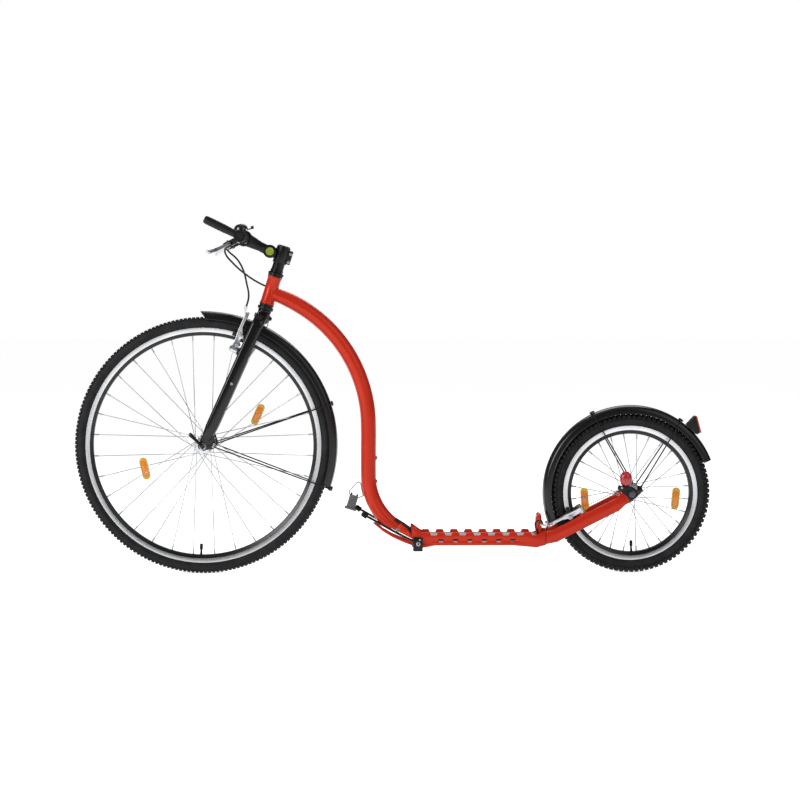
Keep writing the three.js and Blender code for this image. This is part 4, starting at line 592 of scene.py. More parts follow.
def make_finishes():
    """Fills FINISHES with every finish of the bike by name, and SLOTS with a slot name for each of them.
    A finish without a slot is only painted on part of a piece."""
    colours = bpy.context.scene.kick_bike_colours
    red, black = tuple(colours.frame_paint), tuple(colours.black_paint)
    for name, slot, colour, roughness, settings in (
        ("frame red", "frame_paint", red, 0.3, dict(
            coat=0.12, grain=160, relief=0.006, tint=0.06, patches=9, spread=0.03, specular=0.9, glint=(1, 0.3, 0.18))),
        ("satin black", "black_paint", black, 0.34, dict(grain=800, tint=0.25, specular=0.3)),
        ("gloss black", "black_paint", black, 0.2, dict(coat=0.2, grain=500, relief=0.02, tint=0.2, specular=0.3)),
        ("mudguard black", "black_plastic", black, 0.26, dict(
            coat=0.05, grain=260, tint=0.2, spread=0.04, specular=0.4)),
        ("moulded black", "black_plastic", black, 0.5, dict(grain=1300, relief=0.08, tint=0.2, specular=0.3)),
        ("housing black", "black_rubber", black, 0.42, dict(grain=1500, tint=0.2, specular=0.35)),
        ("soft rubber", "black_rubber", RUBBER, 0.82, dict(grain=1600, relief=0.12, specular=0.25)),
        ("grip rubber", "black_rubber", (0.009, 0.009, 0.01), 0.7, dict(grain=1500, relief=0.1, specular=0.3)),
        # deck alloy and grip tape are light grey: partly the deck's own colour, partly a painted reflection of the pale
        # surroundings along its top
        ("deck alloy", "polished_alloy", (0.5, 0.51, 0.52), 0.4, dict(
            metallic=0.5, grain=60, relief=0.05, tint=0.15, stretch=(1, 9, 1))),
        ("grip tape", None, (0.5, 0.5, 0.51), 0.75, dict(grain=1500, relief=0.4, specular=0.3)),
        ("rim black", "polished_alloy", (0.012, 0.012, 0.013), 0.3, dict(metallic=0.3, relief=0.02)),
        ("smoked alloy", "polished_alloy", (0.1, 0.1, 0.105), 0.25, dict(
            metallic=1, grain=1500, relief=0.02, tint=0.1)),
        ("satin alloy", "polished_alloy", (0.6, 0.61, 0.63), 0.38, dict(
            metallic=1, grain=1800, relief=0.04, tint=0.08)),
        ("spoke steel", None, (0.4, 0.41, 0.42), 0.28, dict(metallic=1, grain=1500, relief=0.01, tint=0.1)),
        ("zinc steel", "zinc_steel", (0.42, 0.43, 0.45), 0.38, dict(metallic=1, grain=1500, relief=0.05, tint=0.15)),
        ("lime cap", "lime_cap", (0.44, 0.58, 0.04), 0.3, dict(metallic=0.25, coat=0.5, relief=0.02, tint=0.1)),
        ("yellow plastic", "red_lens", (0.82, 0.42, 0.02), 0.35, dict(coat=0.3, grain=1200, tint=0.1)),
        ("lamp window", "black_plastic", (0.2, 0.19, 0.19), 0.12, dict(coat=0.6, grain=300, relief=0.02, tint=0.1)),
        ("bumper grey", "grey_rubber", (0.12, 0.125, 0.13), 0.7, dict(grain=1200, relief=0.1, tint=0.15)),
        ("pad rubber", None, (0.014, 0.014, 0.015), 0.75, dict(grain=1800, relief=0.08)),
    ):
        FINISHES[name], SLOTS[name] = surface(name.replace(" ", "_"), colour, roughness, **settings), slot
    for name, slot, material in (
        ("front tyre rubber", "tyre_rubber", tyre_finish("front_tyre_rubber", FRONT_HUB, 240)),
        ("rear tyre rubber", "tyre_rubber", tyre_finish("rear_tyre_rubber", REAR_HUB, 160)),
        ("front brake band", None, brake_band("front_brake_band", FRONT_HUB)),
        ("rear brake band", None, brake_band("rear_brake_band", REAR_HUB)),
        ("red lens", "red_lens", faceted("red_lens", (0.45, 0.008, 0.012), 2.2, 0.5)),
        ("amber lens", "red_lens", faceted("amber_lens", (0.85, 0.2, 0.012), 2.4, 0.5)),
    ):
        FINISHES[name], SLOTS[name] = material, slot


# Stage

FLOOR_GLOW = 0.72

def floor_material(name, colour):
    """White where the camera or a reflection looks at it, darkened only by the bike's own shadow."""
    material, tree = new_material(name)
    drift = noise(tree, own_coordinates(tree), 1.5)
    darker = tuple(value * 0.985 for value in colour)
    paths = add_node(tree, "LightPath", "Is Camera Ray", {}).node
    glow = paths.outputs["Is Camera Ray"]
    for ray in ("Is Glossy Ray", "Is Transmission Ray"):
        glow = add_node(tree, "Math", 0, {0: glow, 1: paths.outputs[ray]}, operation="MAXIMUM")
    shade(material, {
        "Roughness": 0.9, "Specular IOR Level": 0.1, "Emission Color": (1, 1, 1, 1),
        "Base Color": mixed(tree, remap(tree, drift, 0, 1), darker, colour),
        "Emission Strength": add_node(tree, "Math", 0, {0: glow, 1: FLOOR_GLOW}, operation="MULTIPLY")})
    return material


def make_sky(stage):
    """White to the camera, soft light for the bike, and dimmer where the bike mirrors it."""
    world = bpy.data.worlds.new("studio")
    bpy.context.scene.world = world
    world.use_nodes = True
    tree = world.node_tree
    paths = add_node(tree, "LightPath", "Is Camera Ray", {}).node
    seen = add_node(tree, "Math", 0, {
        0: paths.outputs["Is Camera Ray"], 1: paths.outputs["Is Transmission Ray"]}, operation="MAXIMUM")
    mirrored = add_node(tree, "MapRange", "Result", {
        "To Min": stage.sky_strength, "To Max": stage.sky_strength * 0.3, "Value": paths.outputs["Is Glossy Ray"]})
    strength = add_node(tree, "MapRange", "Result", {"To Min": mirrored, "To Max": 1.0, "Value": seen})
    feed(tree, tree.nodes["Background"], {"Color": (1, 1, 1, 1), "Strength": strength})


def make_stage():
    """The camera at the photograph's angle, a pale floor and backdrop, and soft lamps."""
    scene = bpy.context.scene
    stage = scene.kick_bike_stage
    scene.view_settings.view_transform = "Standard"
    start_clean()
    bpy.ops.object.camera_add(location=spot(stage.camera_back, -stage.camera_distance, stage.camera_height))
    camera = added("camera")
    camera.rotation_euler = (QUARTER - stage.camera_pitch, 0, -stage.camera_turn)
    camera.data.lens = stage.lens
    camera.data.sensor_width = 36
    camera.data.clip_end = 100
    scene.camera = camera

    floor_centre, floor_size = (0, 2.0, 0), 60
    bpy.ops.mesh.primitive_plane_add(size=1, location=floor_centre)
    floor = added("floor")
    edit(floor)
    bpy.ops.transform.resize(value=(floor_size, floor_size, 1), center_override=floor_centre)
    bpy.ops.mesh.subdivide(number_cuts=9)
    object_mode()
    floor.data.materials.append(floor_material("pale_floor", tuple(stage.floor_colour)))

    make_sky(stage)
    for name, place, turn, size, share in (
        ("key_lamp", (-3.4, -2.6, 2.4), (66, 0, -52.6), 2.2, 1),
        ("fill_lamp", (2.8, -2.6, 2.4), (56, 0, 47), 3.0, 0.25),
        ("back_lamp", (0.6, 3.0, 3.2), (-45, 0, 10), 2.4, 0.4),
        ("top_lamp", (0, 0, 4.2), (0, 0, 0), 3.2, 0.12),
    ):
        bpy.ops.object.light_add(type="AREA", location=place, rotation=[math.radians(angle) for angle in turn])
        lamp = added(name)
        lamp.data.size = size
        lamp.data.energy = stage.key_power * share
    return {"FINISHED"}


# Wheels

WHEELS = {
    "front": {
        "place": front_wheel_frame, "hub": FRONT_HUB, "body": "front_wheel", "outer": FRONT_RADIUS, "rim": 319,
        "band": 307, "rim_inner": 297, "rim_half": 12, "spokes": 32, "crossing": 3, "flange": 25, "barrel": 15,
        "steps": 576, "half": 19, "block_rows": ((9.5, 16.6), (-1, 8.4)), "tread": 1.0, "valve_lean": 1.5,
        "reflectors": ((146.8, 83, -66), (-159.6, -63.4, -104)), "axle_look": "zinc steel", "axle_body": STEERING,
    },
    "rear": {
        "place": rear_wheel_frame, "hub": REAR_HUB, "body": "rear_wheel", "outer": REAR_RADIUS, "rim": 183,
        "band": 171, "rim_inner": 160, "rim_half": 13, "spokes": 28, "crossing": 2, "flange": 22, "barrel": 14,
        "steps": 288, "half": 20, "block_rows": ((10.5, 18.8), (-1, 9.4)), "tread": 1.4, "valve_lean": -1.5,
        "reflectors": ((-123.3, -17.3, -94), (124.7, -16.5, -84)), "axle_look": "smoked alloy", "axle_body": FRAME,
    },
}
FLANGE_Y = 29
NIPPLE = 12.6


def ring_of(wall):
    """A closed section across a wheel from one half of it, a row of (radius, y)."""
    return on_side(-1, wall) + wall[::-1]


def from_hub(wheel, point):
    """How far a place is from a wheel's axle and from its middle plane, in millimetres."""
    offset = point - wheel["hub"]
    return math.hypot(offset.x, offset.z) / MM, abs(offset.y) / MM


def make_tyre(end):
    """A tyre turned from its section, with rows of blocks drawn out of the tread."""
    wheel = WHEELS[end]
    depth = bpy.context.scene.kick_bike_sizes.tread_depth * wheel["tread"]
    rim, half, steps = wheel["rim"], wheel["half"], wheel["steps"]
    crown = wheel["outer"] - depth
    tall = crown - rim
    wall = [(rim - 4, 8.6), (rim + 0.4, 10.4)]
    wall += [(rim + tall * rise, half * share) for rise, share in (
        (0.2, 0.84), (0.38, 0.97), (0.5, 0.985), (0.62, 0.93))]
    wall += [(crown - tall * fall, half * share) for fall, share in (
        (0.18, 0.83), (0.1, 0.67), (0.045, 0.49), (0.012, 0.21))]
    tyre = turned(f"{end}_tyre_with_tread", ring_of(wall), wheel["place"] @ ACROSS, steps, 50)
    edit(tyre)
    bpy.ops.mesh.select_mode(type="FACE")
    for row_start, row_end in wheel["block_rows"]:
        bpy.ops.mesh.select_all(action="DESELECT")
        object_mode()
        for face in tyre.data.polygons:
            reach, across = from_hub(wheel, face.center)
            offset = face.center - wheel["hub"]
            step = math.floor(math.atan2(offset.z, offset.x) / (2 * math.pi) * steps)
            face.select = row_start < across < row_end and reach > rim + tall * 0.7 and step % 3 < 2
        bpy.ops.object.mode_set(mode="EDIT")
        bpy.ops.mesh.extrude_region_shrink_fatten(TRANSFORM_OT_shrink_fatten={"value": depth * MM})
    object_mode()
    finish(smooth(tyre, 32), f"{end} tyre rubber", wheel["body"], f"{end}_tyre")


def make_rim(end):
    """A double-walled rim: black outside with a bright brake band."""
    wheel = WHEELS[end]
    rim, band, inner, half = wheel["rim"], wheel["band"], wheel["rim_inner"], wheel["rim_half"]
    wall = [(rim - 9, half - 2.4), (rim, half - 2), (rim, half - 0.4), (rim - 0.5, half), (band, half),
            (band - 1.2, half - 0.5), (band - 2, half - 1), (inner + 1, half * 0.62), (inner, half * 0.3)]
    obj = turned(f"{end}_rim_with_brake_band", ring_of(wall), wheel["place"] @ ACROSS, 192, 30)
    finish(obj, "rim black", wheel["body"], f"{end}_rim")

    def in_band(face):
        reach, across = from_hub(wheel, face.center)
        return reach > band - 0.6 and across > half - 0.6

    paint_faces(obj, f"{end} brake band", in_band)


def spoke_ends(wheel):
    """Each spoke's end at the hub flange and at the rim, as laced in the CAD part."""
    hole = 720 / wheel["spokes"]
    for number in range(wheel["spokes"]):
        side = -1 if number % 2 == 0 else 1
        lead = 1 if number % 4 < 2 else -1
        turn = 360 * (number + 0.5) / wheel["spokes"]
        hub_x, hub_z = polar(wheel["flange"] - 3.6, turn + lead * wheel["crossing"] * hole)
        rim_x, rim_z = polar(wheel["rim_inner"] - 0.3, turn)
        yield (hub_x, side * FLANGE_Y + lead * 2.2, hub_z), (rim_x, side * 1.1, rim_z)


def make_spokes(end):
    """One spoke with its nipple, copied round the wheel."""
    wheel = WHEELS[end]
    thick = bpy.context.scene.kick_bike_sizes.spoke_radius
    laced = []
    pattern = None
    for number, ends in enumerate(spoke_ends(wheel)):
        start, stop = run(wheel["place"], ends)
        if pattern is None:
            length = (stop - start).length / MM
            pattern = turned(f"{end}_spokes", [
                (0, -1), (thick * 1.9, -1), (thick * 1.9, 0.2), (thick, 1.2), (thick, length - 13),
                (1.7, length - 12.2), (2.0, length - 11), (2.0, length - 1), (2.6, length), (0, length)],
                Matrix.Identity(4), 8, 60)
            pattern.data.materials.append(FINISHES["spoke steel"])
            paint_faces(pattern, "zinc steel", lambda face: face.center.z / MM > length - NIPPLE)
        laced.append(copy_of(pattern, f"{end}_spoke_{number}", looking(start, stop)))
    bpy.data.objects.remove(pattern)
    finish(fuse(f"{end}_spokes", *laced), None, wheel["body"], slot="polished_alloy")


def make_hub(end):
    """A turned hub shell with dished flanges and seals."""
    wheel = WHEELS[end]
    flange, barrel = wheel["flange"], wheel["barrel"]
    half = [(4.9, 36), (barrel - 1.8, 36), (barrel - 0.8, 35.4), (barrel - 0.5, FLANGE_Y + 3),
            (barrel + 1, FLANGE_Y + 2.2), (flange - 1.2, FLANGE_Y + 1.7), (flange, FLANGE_Y + 0.8),
            (flange, FLANGE_Y - 1), (flange - 1, FLANGE_Y - 2.2), (barrel + 3, FLANGE_Y - 4.5),
            (barrel, FLANGE_Y - 9), (barrel * 0.9, 10)]
    outline = on_side(-1, half) + [(barrel * 0.86, 0)] + half[::-1]
    shell = turned(f"{end}_hub", outline, wheel["place"] @ ACROSS, 64, 30)
    make_spokes(end)
    finish(shell, "satin alloy", wheel["body"], f"{end}_hub_and_spokes")


def make_valve(end):
    """A tyre valve with its black cap, standing out of the rim at the bottom."""
    wheel = WHEELS[end]
    leaning = at_point(wheel["place"], 0, 0, 0, wheel["valve_lean"])
    valve = turned(f"{end}_valve", [
        (0, 0), (3.1, 0), (3.1, 10), (2.6, 11), (2.6, 16), (4.0, 17), (4.2, 18), (4.2, 29), (3.6, 31), (2.2, 32.4),
        (0, 32.6)], at_point(leaning, 0, 0, -(wheel["rim_inner"] + 3)), 20, 40)
    finish(valve, "soft rubber", wheel["body"], slot="tyre_rubber")


def make_wheel_reflectors(end):
    """Two reflectors clipped between the spokes: a yellow frame round an amber lens."""
    wheel = WHEELS[end]
    oval, window = slot_hole(0, 0, 19.5, 10.5, 10), slot_hole(0, 0, 14.5, 7.2, 8)
    for number, (x, z, lean) in enumerate(wheel["reflectors"]):
        place = at_point(wheel["place"], x, 0, z, lean)
        case = plate(f"{end}_reflector_case_{number}", place, [oval, window], 11, 1.2)
        lens = plate(f"{end}_reflector_lens_{number}", place, [window], 8.4, 0.8)
        finish(case, "yellow plastic", wheel["body"])
        finish(lens, "amber lens", wheel["body"])


def make_axle(end):
    """The fixed axle: cone nuts inside the dropouts, washers and nuts outside them."""
    wheel = WHEELS[end]
    place = wheel["place"] @ ACROSS
    half = [(4.6, 36.3), (7, 36.6), (7, 42), (9, 44), (9, 49), (8, 49.7), (4.6, 49.7), (4.6, 62), (4.2, 63), (0, 63)]
    parts = [turned(f"{end}_axle_spindle", on_side(-1, half[::-1]) + half, place, 32)]
    nut = [(5, 58), (9.2, 58), (9.8, 58.8), (9.8, 63.8), (9.2, 65), (5, 65.2)]
    washer = [(5, 56.3), (10, 56.3), (10, 57.8), (5, 57.8)]
    for side in (-1, 1):
        for outline, sides in ((nut, 6), (washer, 32)):
            parts.append(turned(f"{end}_axle_nut", on_side(side, outline), place, sides, 30))
    piece = fuse(f"{end}_axle_and_nuts", *parts)
    finish(piece, wheel["axle_look"], wheel["axle_body"], f"{end}_axle", slot="zinc_steel")


def make_wheels():
    for end in WHEELS:
        for make in (make_tyre, make_rim, make_hub, make_valve, make_wheel_reflectors, make_axle):
            make(end)
    lever = cad_copy("front_quick_release_lever", "quick_release_lever", 0.7, 30)
    finish(lever, "satin black", "quick_release", "front_quick_release_lever")


# Frame

MAIN_RADIUS = 20.5
ARC_X, ARC_Z, ARC_RADIUS, ARC_START = 66.4, 398.3, 380, 69.3
DROP_X = ARC_X + ARC_RADIUS
BEND_Z, BEND_RADIUS, BEND_TURN = 264, 168, 57
PORT_X, PORT_Z = (middle + part for middle, part in zip((ARC_X, ARC_Z), polar(ARC_RADIUS, ARC_START * 0.9)))
DECK_Z, DECK_FRONT, DECK_REAR, DECK_HALF = 106, 566, 926, 55
RAIL_WIDTH, RAIL_BOTTOM = 10, DECK_Z - 27
TEETH, TOOTH_PITCH = 8, 39
HEAD_LOW, HEAD_HIGH, HEAD_RADIUS = 48.8, 125.5, 18.25
HOOP_X, HOOP_HALF, HOOP_TOP, HOOP_BEND, HOOP_RADIUS = DECK_REAR - 17, 34, 156.7, 20, 6.3
DROPOUT_START = -15


def main_line():
    """Places (x, z) down the middle of the main tube."""
    x, z = polar(ARC_RADIUS, ARC_START)
    fall = math.radians(90 - ARC_START)
    line = [(ARC_X + x - 26 * math.cos(fall), ARC_Z + z + 26 * math.sin(fall))]
    line += arc(ARC_X, ARC_Z, ARC_RADIUS, ARC_START, 0, 14)
    line.append((DROP_X, (ARC_Z + BEND_Z) / 2))
    return line + arc(DROP_X + BEND_RADIUS, BEND_Z, BEND_RADIUS, 180, 180 + BEND_TURN, 12)


def head_weld(line):
    """The seam where the main tube's round meets the head tube's."""
    (start_x, start_z), (next_x, next_z) = line[:2]
    length = math.hypot(next_x - start_x, next_z - start_z)
    along_x, along_z = (next_x - start_x) / length, (next_z - start_z) / length
    across_x, across_z = polar(1, -17)
    reach = along_x * across_x + along_z * across_z
    seam = []
    for step in range(72):
        y, rise = polar(MAIN_RADIUS * 0.88, step * 5)
        x, z = start_x - along_z * rise, start_z + along_x * rise
        beside = (x - 157.4) * across_x + (z - 683.6) * across_z
        on = (math.sqrt(max(0, (HEAD_RADIUS + 0.4) ** 2 - y * y)) - beside) / reach
        seam.append(spot(x + along_x * on, y, z + along_z * on))
    return seam


def make_main_tube():
    """The bent main tube with its welds, bottle bosses and cable port."""
    line = main_line()
    tube = pipe("main_tube_bent", [spot(x, 0, z) for x, z in line], MAIN_RADIUS, 10,
                radii=[0.86, 0.9, 0.97] + [1] * (len(line) - 3))
    cut_below(tube, spot(510, 0, 122), (0.1, 0, 0.995))
    gusset = plate("head_gusset", bike_frame, [[
        (175, 741), (203, 737), (237, 720), (266, 712), (271, 716), (269, 726), (240, 738), (190, 748)]], 6, 1.2)
    bosses = []
    face = DROP_X + MAIN_RADIUS
    for height in (313, 249):
        bosses.append(rod("bottle_boss", bike_frame, (face - 2, 0, height), (face + 1.6, 0, height), 6))
        screw("bottle_bolt", FRAME, bike_frame, (face + 1.5, 0, height), (700, 0, height), 3.9, 2.4)
    socket = turned("cable_port", [(0, 0), (5.6, 0), (5.6, 7), (5, 8.3), (3.4, 8.4), (0, 8.4)],
                    looking(spot(PORT_X, 14, PORT_Z), spot(PORT_X, 60, PORT_Z)), 32)
    seam = weld("head_weld", head_weld(line))
    finish(fuse("main_tube_with_bosses", tube, gusset, *bosses, socket, seam), "frame red", FRAME, "main_tube")

    tube = turned("head_tube_with_rings", [
        (15.5, HEAD_LOW), (19, HEAD_LOW), (19.5, HEAD_LOW + 0.6), (19.5, 53), (18.9, 54.2), (HEAD_RADIUS, 55.4),
        (HEAD_RADIUS, 118.6), (18.9, 119.8), (19.5, 121), (19.5, HEAD_HIGH - 0.6), (19, HEAD_HIGH), (15.5, HEAD_HIGH),
    ], steering_frame, 96, 30)
    finish(tube, "frame red", FRAME, "head_tube")


def rail_outline():
    """The edge of a deck rail: a row of teeth along the top and a belly under each end."""
    nose = DECK_FRONT - 4
    edge = [(nose, 116), (nose, 128), (nose + 2, 130), (nose + 4, 129.6), (nose + 16, 121)]
    for tooth in range(TEETH):
        x = DECK_FRONT + 37 + tooth * TOOTH_PITCH
        foot = DECK_Z + 6 if tooth == 0 else DECK_Z
        edge += [(x - 12, foot), (x - 9.2, 112.8), (x - 7.4, 114), (x + 7.4, 114), (x + 9.2, 112.8), (x + 12, DECK_Z)]
    return edge + [
        (896, DECK_Z), (DECK_REAR, 118), (DECK_REAR, RAIL_BOTTOM + 1), (900, 73), (836, RAIL_BOTTOM),
        (626, RAIL_BOTTOM), (596, 73), (570, 75)]


def make_rails():
    """The two deck rails, pierced with a hole under each tooth between the end ones."""
    holes = [slot_hole(DECK_FRONT + 76 + number * TOOTH_PITCH, 92, 4, 4.5, 10) for number in range(TEETH - 2)]
    holes.append(arc(580, 84, 4.4, 0, 345, 23))
    for side_name, side in SIDES:
        place = at_point(bike_frame, 0, side * (DECK_HALF - RAIL_WIDTH / 2), 0)
        rail = plate(f"deck_rail_{side_name}_toothed", place, [rail_outline()] + holes, RAIL_WIDTH, 0.9, 30)
        finish(rail, "frame red", FRAME, f"deck_rail_{side_name}")


def make_deck():
    """Deck plate with its screws, neck with brace and cover, and cross member."""
    board = recast("deck_plate", "folded", "deck alloy", FRAME, 0.9, 35)
    # the light grey of the top is partly the deck's own colour and partly a painted reflection
    paint_faces(board, "grip tape", lambda face: face.normal.z > 0.99)
    # painted shade: the side faces, seen through the rail holes, are black for the shade behind the rails
    paint_faces(board, "moulded black", lambda face: abs(face.normal.z) < 0.7)
    for x in (DECK_FRONT + 16, DECK_REAR - 42):
        for y in (-34, 34):
            screw("deck_screw", FRAME, bike_frame, (x, y, 104.4), (x, y, 150), 4.2, 1.7)

    neck = cad_copy("deck_neck", "neck_box", 0)
    cut_below(neck, spot(533, 0, 111), (0.436, 0, 0.9))
    soften(neck, 3, 4, 50)
    brace = plate("neck_brace", bike_frame, [[
        (459, 136), (468, 137), (486, 121.4), (510, 107.4), (540, 95), (565.6, 88.6), (565.6, 75), (540, 84.6),
        (510, 98.4), (486, 113.4), (466, 130)]], 34, 2)
    finish(fuse("deck_neck_with_brace", smooth(neck, 50), brace), "frame red", FRAME, "deck_neck")
    cover = plate("neck_cover", bike_frame, [[
        (517, 147.4), (521, 149), (540, 137), (563.4, 121), (563.4, 104), (548, 119), (533, 135), (522, 141.6)]],
        44, 1.6)
    finish(cover, "moulded black", FRAME)
    recast("rear_cross_member", "welded", "frame red", FRAME, 1.2, 35)


def make_hoop():
    """The hoop in front of the rear wheel, welded to the deck on both sides."""
    leg_top, corner = HOOP_TOP - HOOP_BEND, HOOP_HALF - HOOP_BEND
    bow = [(-HOOP_HALF, 105), (-HOOP_HALF, 118)] + arc(-corner, leg_top, HOOP_BEND, 180, 90, 6)
    bow += [(0, HOOP_TOP)] + arc(corner, leg_top, HOOP_BEND, 90, 0, 6) + [(HOOP_HALF, 118), (HOOP_HALF, 105)]
    parts = [pipe("wheel_guard_hoop_bent", [spot(HOOP_X, y, z) for y, z in bow], HOOP_RADIUS, 6, 4)]
    for side in (-1, 1):
        foot = arc(HOOP_X, side * HOOP_HALF, 6.5, 0, 360, 28)[:-1]
        parts.append(weld("hoop_weld", [spot(x, y, 105.4) for x, y in foot], 1.1))
    finish(fuse("wheel_guard_hoop_welded", *parts), "frame red", FRAME, "rear_wheel_guard_hoop")


def make_rear_arms():
    """The welded rear arms, with dark dropouts at the axle."""
    for side_name in ("left", "right"):
        arm = recast(f"rear_arm_{side_name}", "welded", "frame red", FRAME, 0.9, 50)
        edit(arm)
        bpy.ops.mesh.bisect(plane_co=inside(arm_frame, DROPOUT_START, 0, 0), plane_no=arm_frame.col[0].xyz)
        object_mode()
        paint_faces(arm, "gloss black", lambda face: (arm_frame.inverted() @ face.center).x > DROPOUT_START * MM)


# Steering: fork, headset, stem and handlebar

STEM_LENGTH = 79
BAR_HALF, BAR_END_Y, LEVER_PIN_X = 300, 289, -40
HOUSING_X, HOUSING_Y = -50, 77.7


def grooves(radius, depth, starts, width, ramp):
    """A row of grooves with sloping sides, as part of an outline."""
    shape = ((radius, 0), (radius - depth, ramp), (radius - depth, width - ramp), (radius, width))
    return [(reach, start + rise) for start in starts for reach, rise in shape]


def make_fork():
    """Crown and legs, with the bolts at the crown and the dropouts."""
    crown = cad_copy("fork_crown_and_steerer", "fork_crown_forged", 0.9, 60)
    finish(crown, "gloss black", STEERING, "fork_crown_and_steerer")
    screw("crown_bolt_head", STEERING, steering_frame, (-20.4, 0, 13), (-90, 0, 13), 5.6, 3.8)
    for side_name, side in SIDES:
        recast(f"fork_leg_{side_name}", "tapered", "gloss black", STEERING, 0.9, 60)
        for z in (18, 11):
            screw("fork_eyelet_bolt", STEERING, leg_frame, (26, side * 60.4, z), (26, side * 120, z), 3.4, 2.6)
        screw("front_brake_post_bolt", STEERING, leg_frame, (-40.4, side * 40, 271), (-90, side * 40, 271), 6, 3.6)
        boss_place = looking(*run(leg_frame, ((2, side * 63.2, 186), (2, side * 90, 186))))
        boss = turned("fork_leg_boss", [(0, -1), (3.6, -1), (3.6, 0.9), (2.9, 1.5), (1.8, 1.5), (1.8, 0.4), (0, 0.4)],
                      boss_place, 24, 25)
        finish(boss, "zinc steel", STEERING)


def make_headset():
    """Both cups, which stay with the frame, and the spacers, which turn."""
    lower = turned("headset_lower_cup_stepped", [
        (14.9, 26.3), (17.4, 26.3), (18, 27), (18, 31.6), (19.2, 32.8), (20.8, 33.2), (21.5, 34), (21.5, 40.4),
        (20.8, 41.2), (18.6, 41.6), (18, 42.4), (18, 44.2), (19.6, 44.8), (20, 45.4), (20, 47.8), (19.6, 48.5),
        (14.9, 48.5)], steering_frame, 72, 28)
    finish(lower, "satin black", FRAME, "headset_lower_cup")
    upper = turned("headset_upper_cup_stepped", [
        (14.9, 125.8), (20, 125.8), (20.4, 126.3), (20.4, 128.4), (19.4, 129), (19.4, 130.4), (21, 131), (21.5, 131.6),
        (21.5, 134.8), (20.8, 135.8), (18.6, 137.4), (17, 138.2), (14.9, 138.2)],
        steering_frame, 72, 28)
    finish(upper, "satin black", FRAME, "headset_upper_cup")
    rings = [(14.7, 138.5), (17.6, 138.5), (17.4, 141), (16.4, 145.5), (16, 148)]
    rings += grooves(16, 0.5, (151, 157), 1.1, 0.3)
    rings += [(16, 162.9), (15.6, 163.3), (14.7, 163.3)]
    finish(turned("spacers_stacked", rings, steering_frame, 64, 28), "satin black", STEERING, "spacers")


def make_stem():
    """Steerer clamp, rising arm and faceplate, with their bolts and the lime caps of the pivot."""
    recast("stem_base", "clamp", "satin black", STEERING, 1.6, 45)
    for z in (173.5, 196):
        for side in (-1, 1):
            screw("stem_clamp_bolt", STEERING, steering_frame, (22.8, side * 8.6, z), (22.8, side * 60, z), 4.4, 4)
    cap = turned("top_cap_domed", [
        (0, 209.8), (16.2, 209.8), (17, 210.4), (17, 211.2), (15.6, 212.6), (11, 213.3), (6, 213.4), (5.4, 212.2),
        (0, 212.2)], steering_frame, 64, 28)
    finish(cap, "satin black", STEERING, "top_cap")
    screw("top_cap_bolt", STEERING, steering_frame, (0, 0, 211.4), (0, 0, 260), 4.2, 2)
    recast("stem_arm", "forged", "satin black", STEERING, 1.6, 45)
    recast("stem_faceplate", "bolted", "satin black", STEERING, 1.2, 45)
    for y in (-14, 14):
        for z in (-16.4, 16.4):
            screw("faceplate_bolt", STEERING, stem_frame, (-STEM_LENGTH - 14, y, z), (-200, y, z), 3.8, 4.4)
    half = [(10.8, 19.6), (10.7, 21.6), (9.8, 22.4), (8.2, 22.4), (7.6, 21.9), (0, 21.9)]
    pivot = turned("stem_pivot_caps", on_side(-1, half[::-1]) + [(4, -19.6), (4, 19.6)] + half,
                   stem_frame @ ACROSS, 64, 25)
    finish(pivot, "lime cap", STEERING, "stem_pivot_bolt")


def grip_outline():
    """A soft grip: a lip at its inner end, a waist, and ribs all along."""
    outline = [(13, 150), (18.2, 150), (18.8, 150.6), (18.8, 153.2), (18.2, 154), (16.2, 156)]
    for rib in range(29):
        y = 158 + rib * 4
        radius = 15.8 - 1.1 * math.sin(math.pi * (y - 156) / 60) ** 2
        outline += [(radius, y), (radius, y + 2.5), (radius - 0.8, y + 2.9), (radius - 0.8, y + 3.6)]
    return outline + [(15.8, 274.6), (15.8, 276.8), (15.2, 277.6), (13, 277.6)]


def on_bar(name, side, outline, sides, degrees=25):
    """A body turned about the handlebar, on one side of the bike."""
    return turned(name, on_side(side, outline), bar_frame @ ACROSS, sides, degrees)


def make_bar():
    """Handlebar, grips, bar ends and plugs."""
    half = [(10.3, BAR_HALF), (12.7, BAR_HALF), (12.7, 56), (13.3, 50), (15.3, 34), (15.9, 29)]
    bar = turned("handlebar_butted", ring_of(half), bar_frame @ ACROSS, 72, 25)
    finish(bar, "satin black", STEERING, "handlebar")
    ring = [(13.1, 278), (15.2, 278), (16, 278.8), (16, 298.9), (15.2, 299.8), (13.1, 299.8)]
    horn = [(0, 13.6), (8.6, 13.6), (9.2, 20), (10.2, 32), (10.9, 44)] + grooves(11, 0.6, range(52, 97, 9), 2.4, 0.8)
    horn += [(10.6, 95), (9.9, 99.2), (8.6, 101.3), (6.2, 102.4), (0, 102.4)]
    plug = [(0, 284), (9.9, 284), (9.9, 299.4), (9.2, 299.9), (6.4, 299.9), (5.8, 299.2), (0, 299.2)]
    for side_name, side in SIDES:
        grip = on_bar(f"grip_{side_name}_ribbed", side, grip_outline(), 72)
        finish(grip, "grip rubber", STEERING, f"grip_{side_name}")
        y = side * BAR_END_Y
        clamp = on_bar("bar_end_clamp", side, ring, 64, 28)
        post = turned("bar_end_horn", horn, at_point(horn_frame, 0, y, 0) @ FORWARD, 48)
        piece = fuse(f"bar_end_{side_name}_grooved", clamp, post)
        finish(piece, "moulded black", STEERING, f"bar_end_{side_name}", slot="black_paint")
        screw("bar_end_bolt", STEERING, horn_frame, (4, y, -14.9), (4, y, -60), 3.4, 2.6)
        finish(on_bar("bar_plug", side, plug, 40), "moulded black", STEERING)


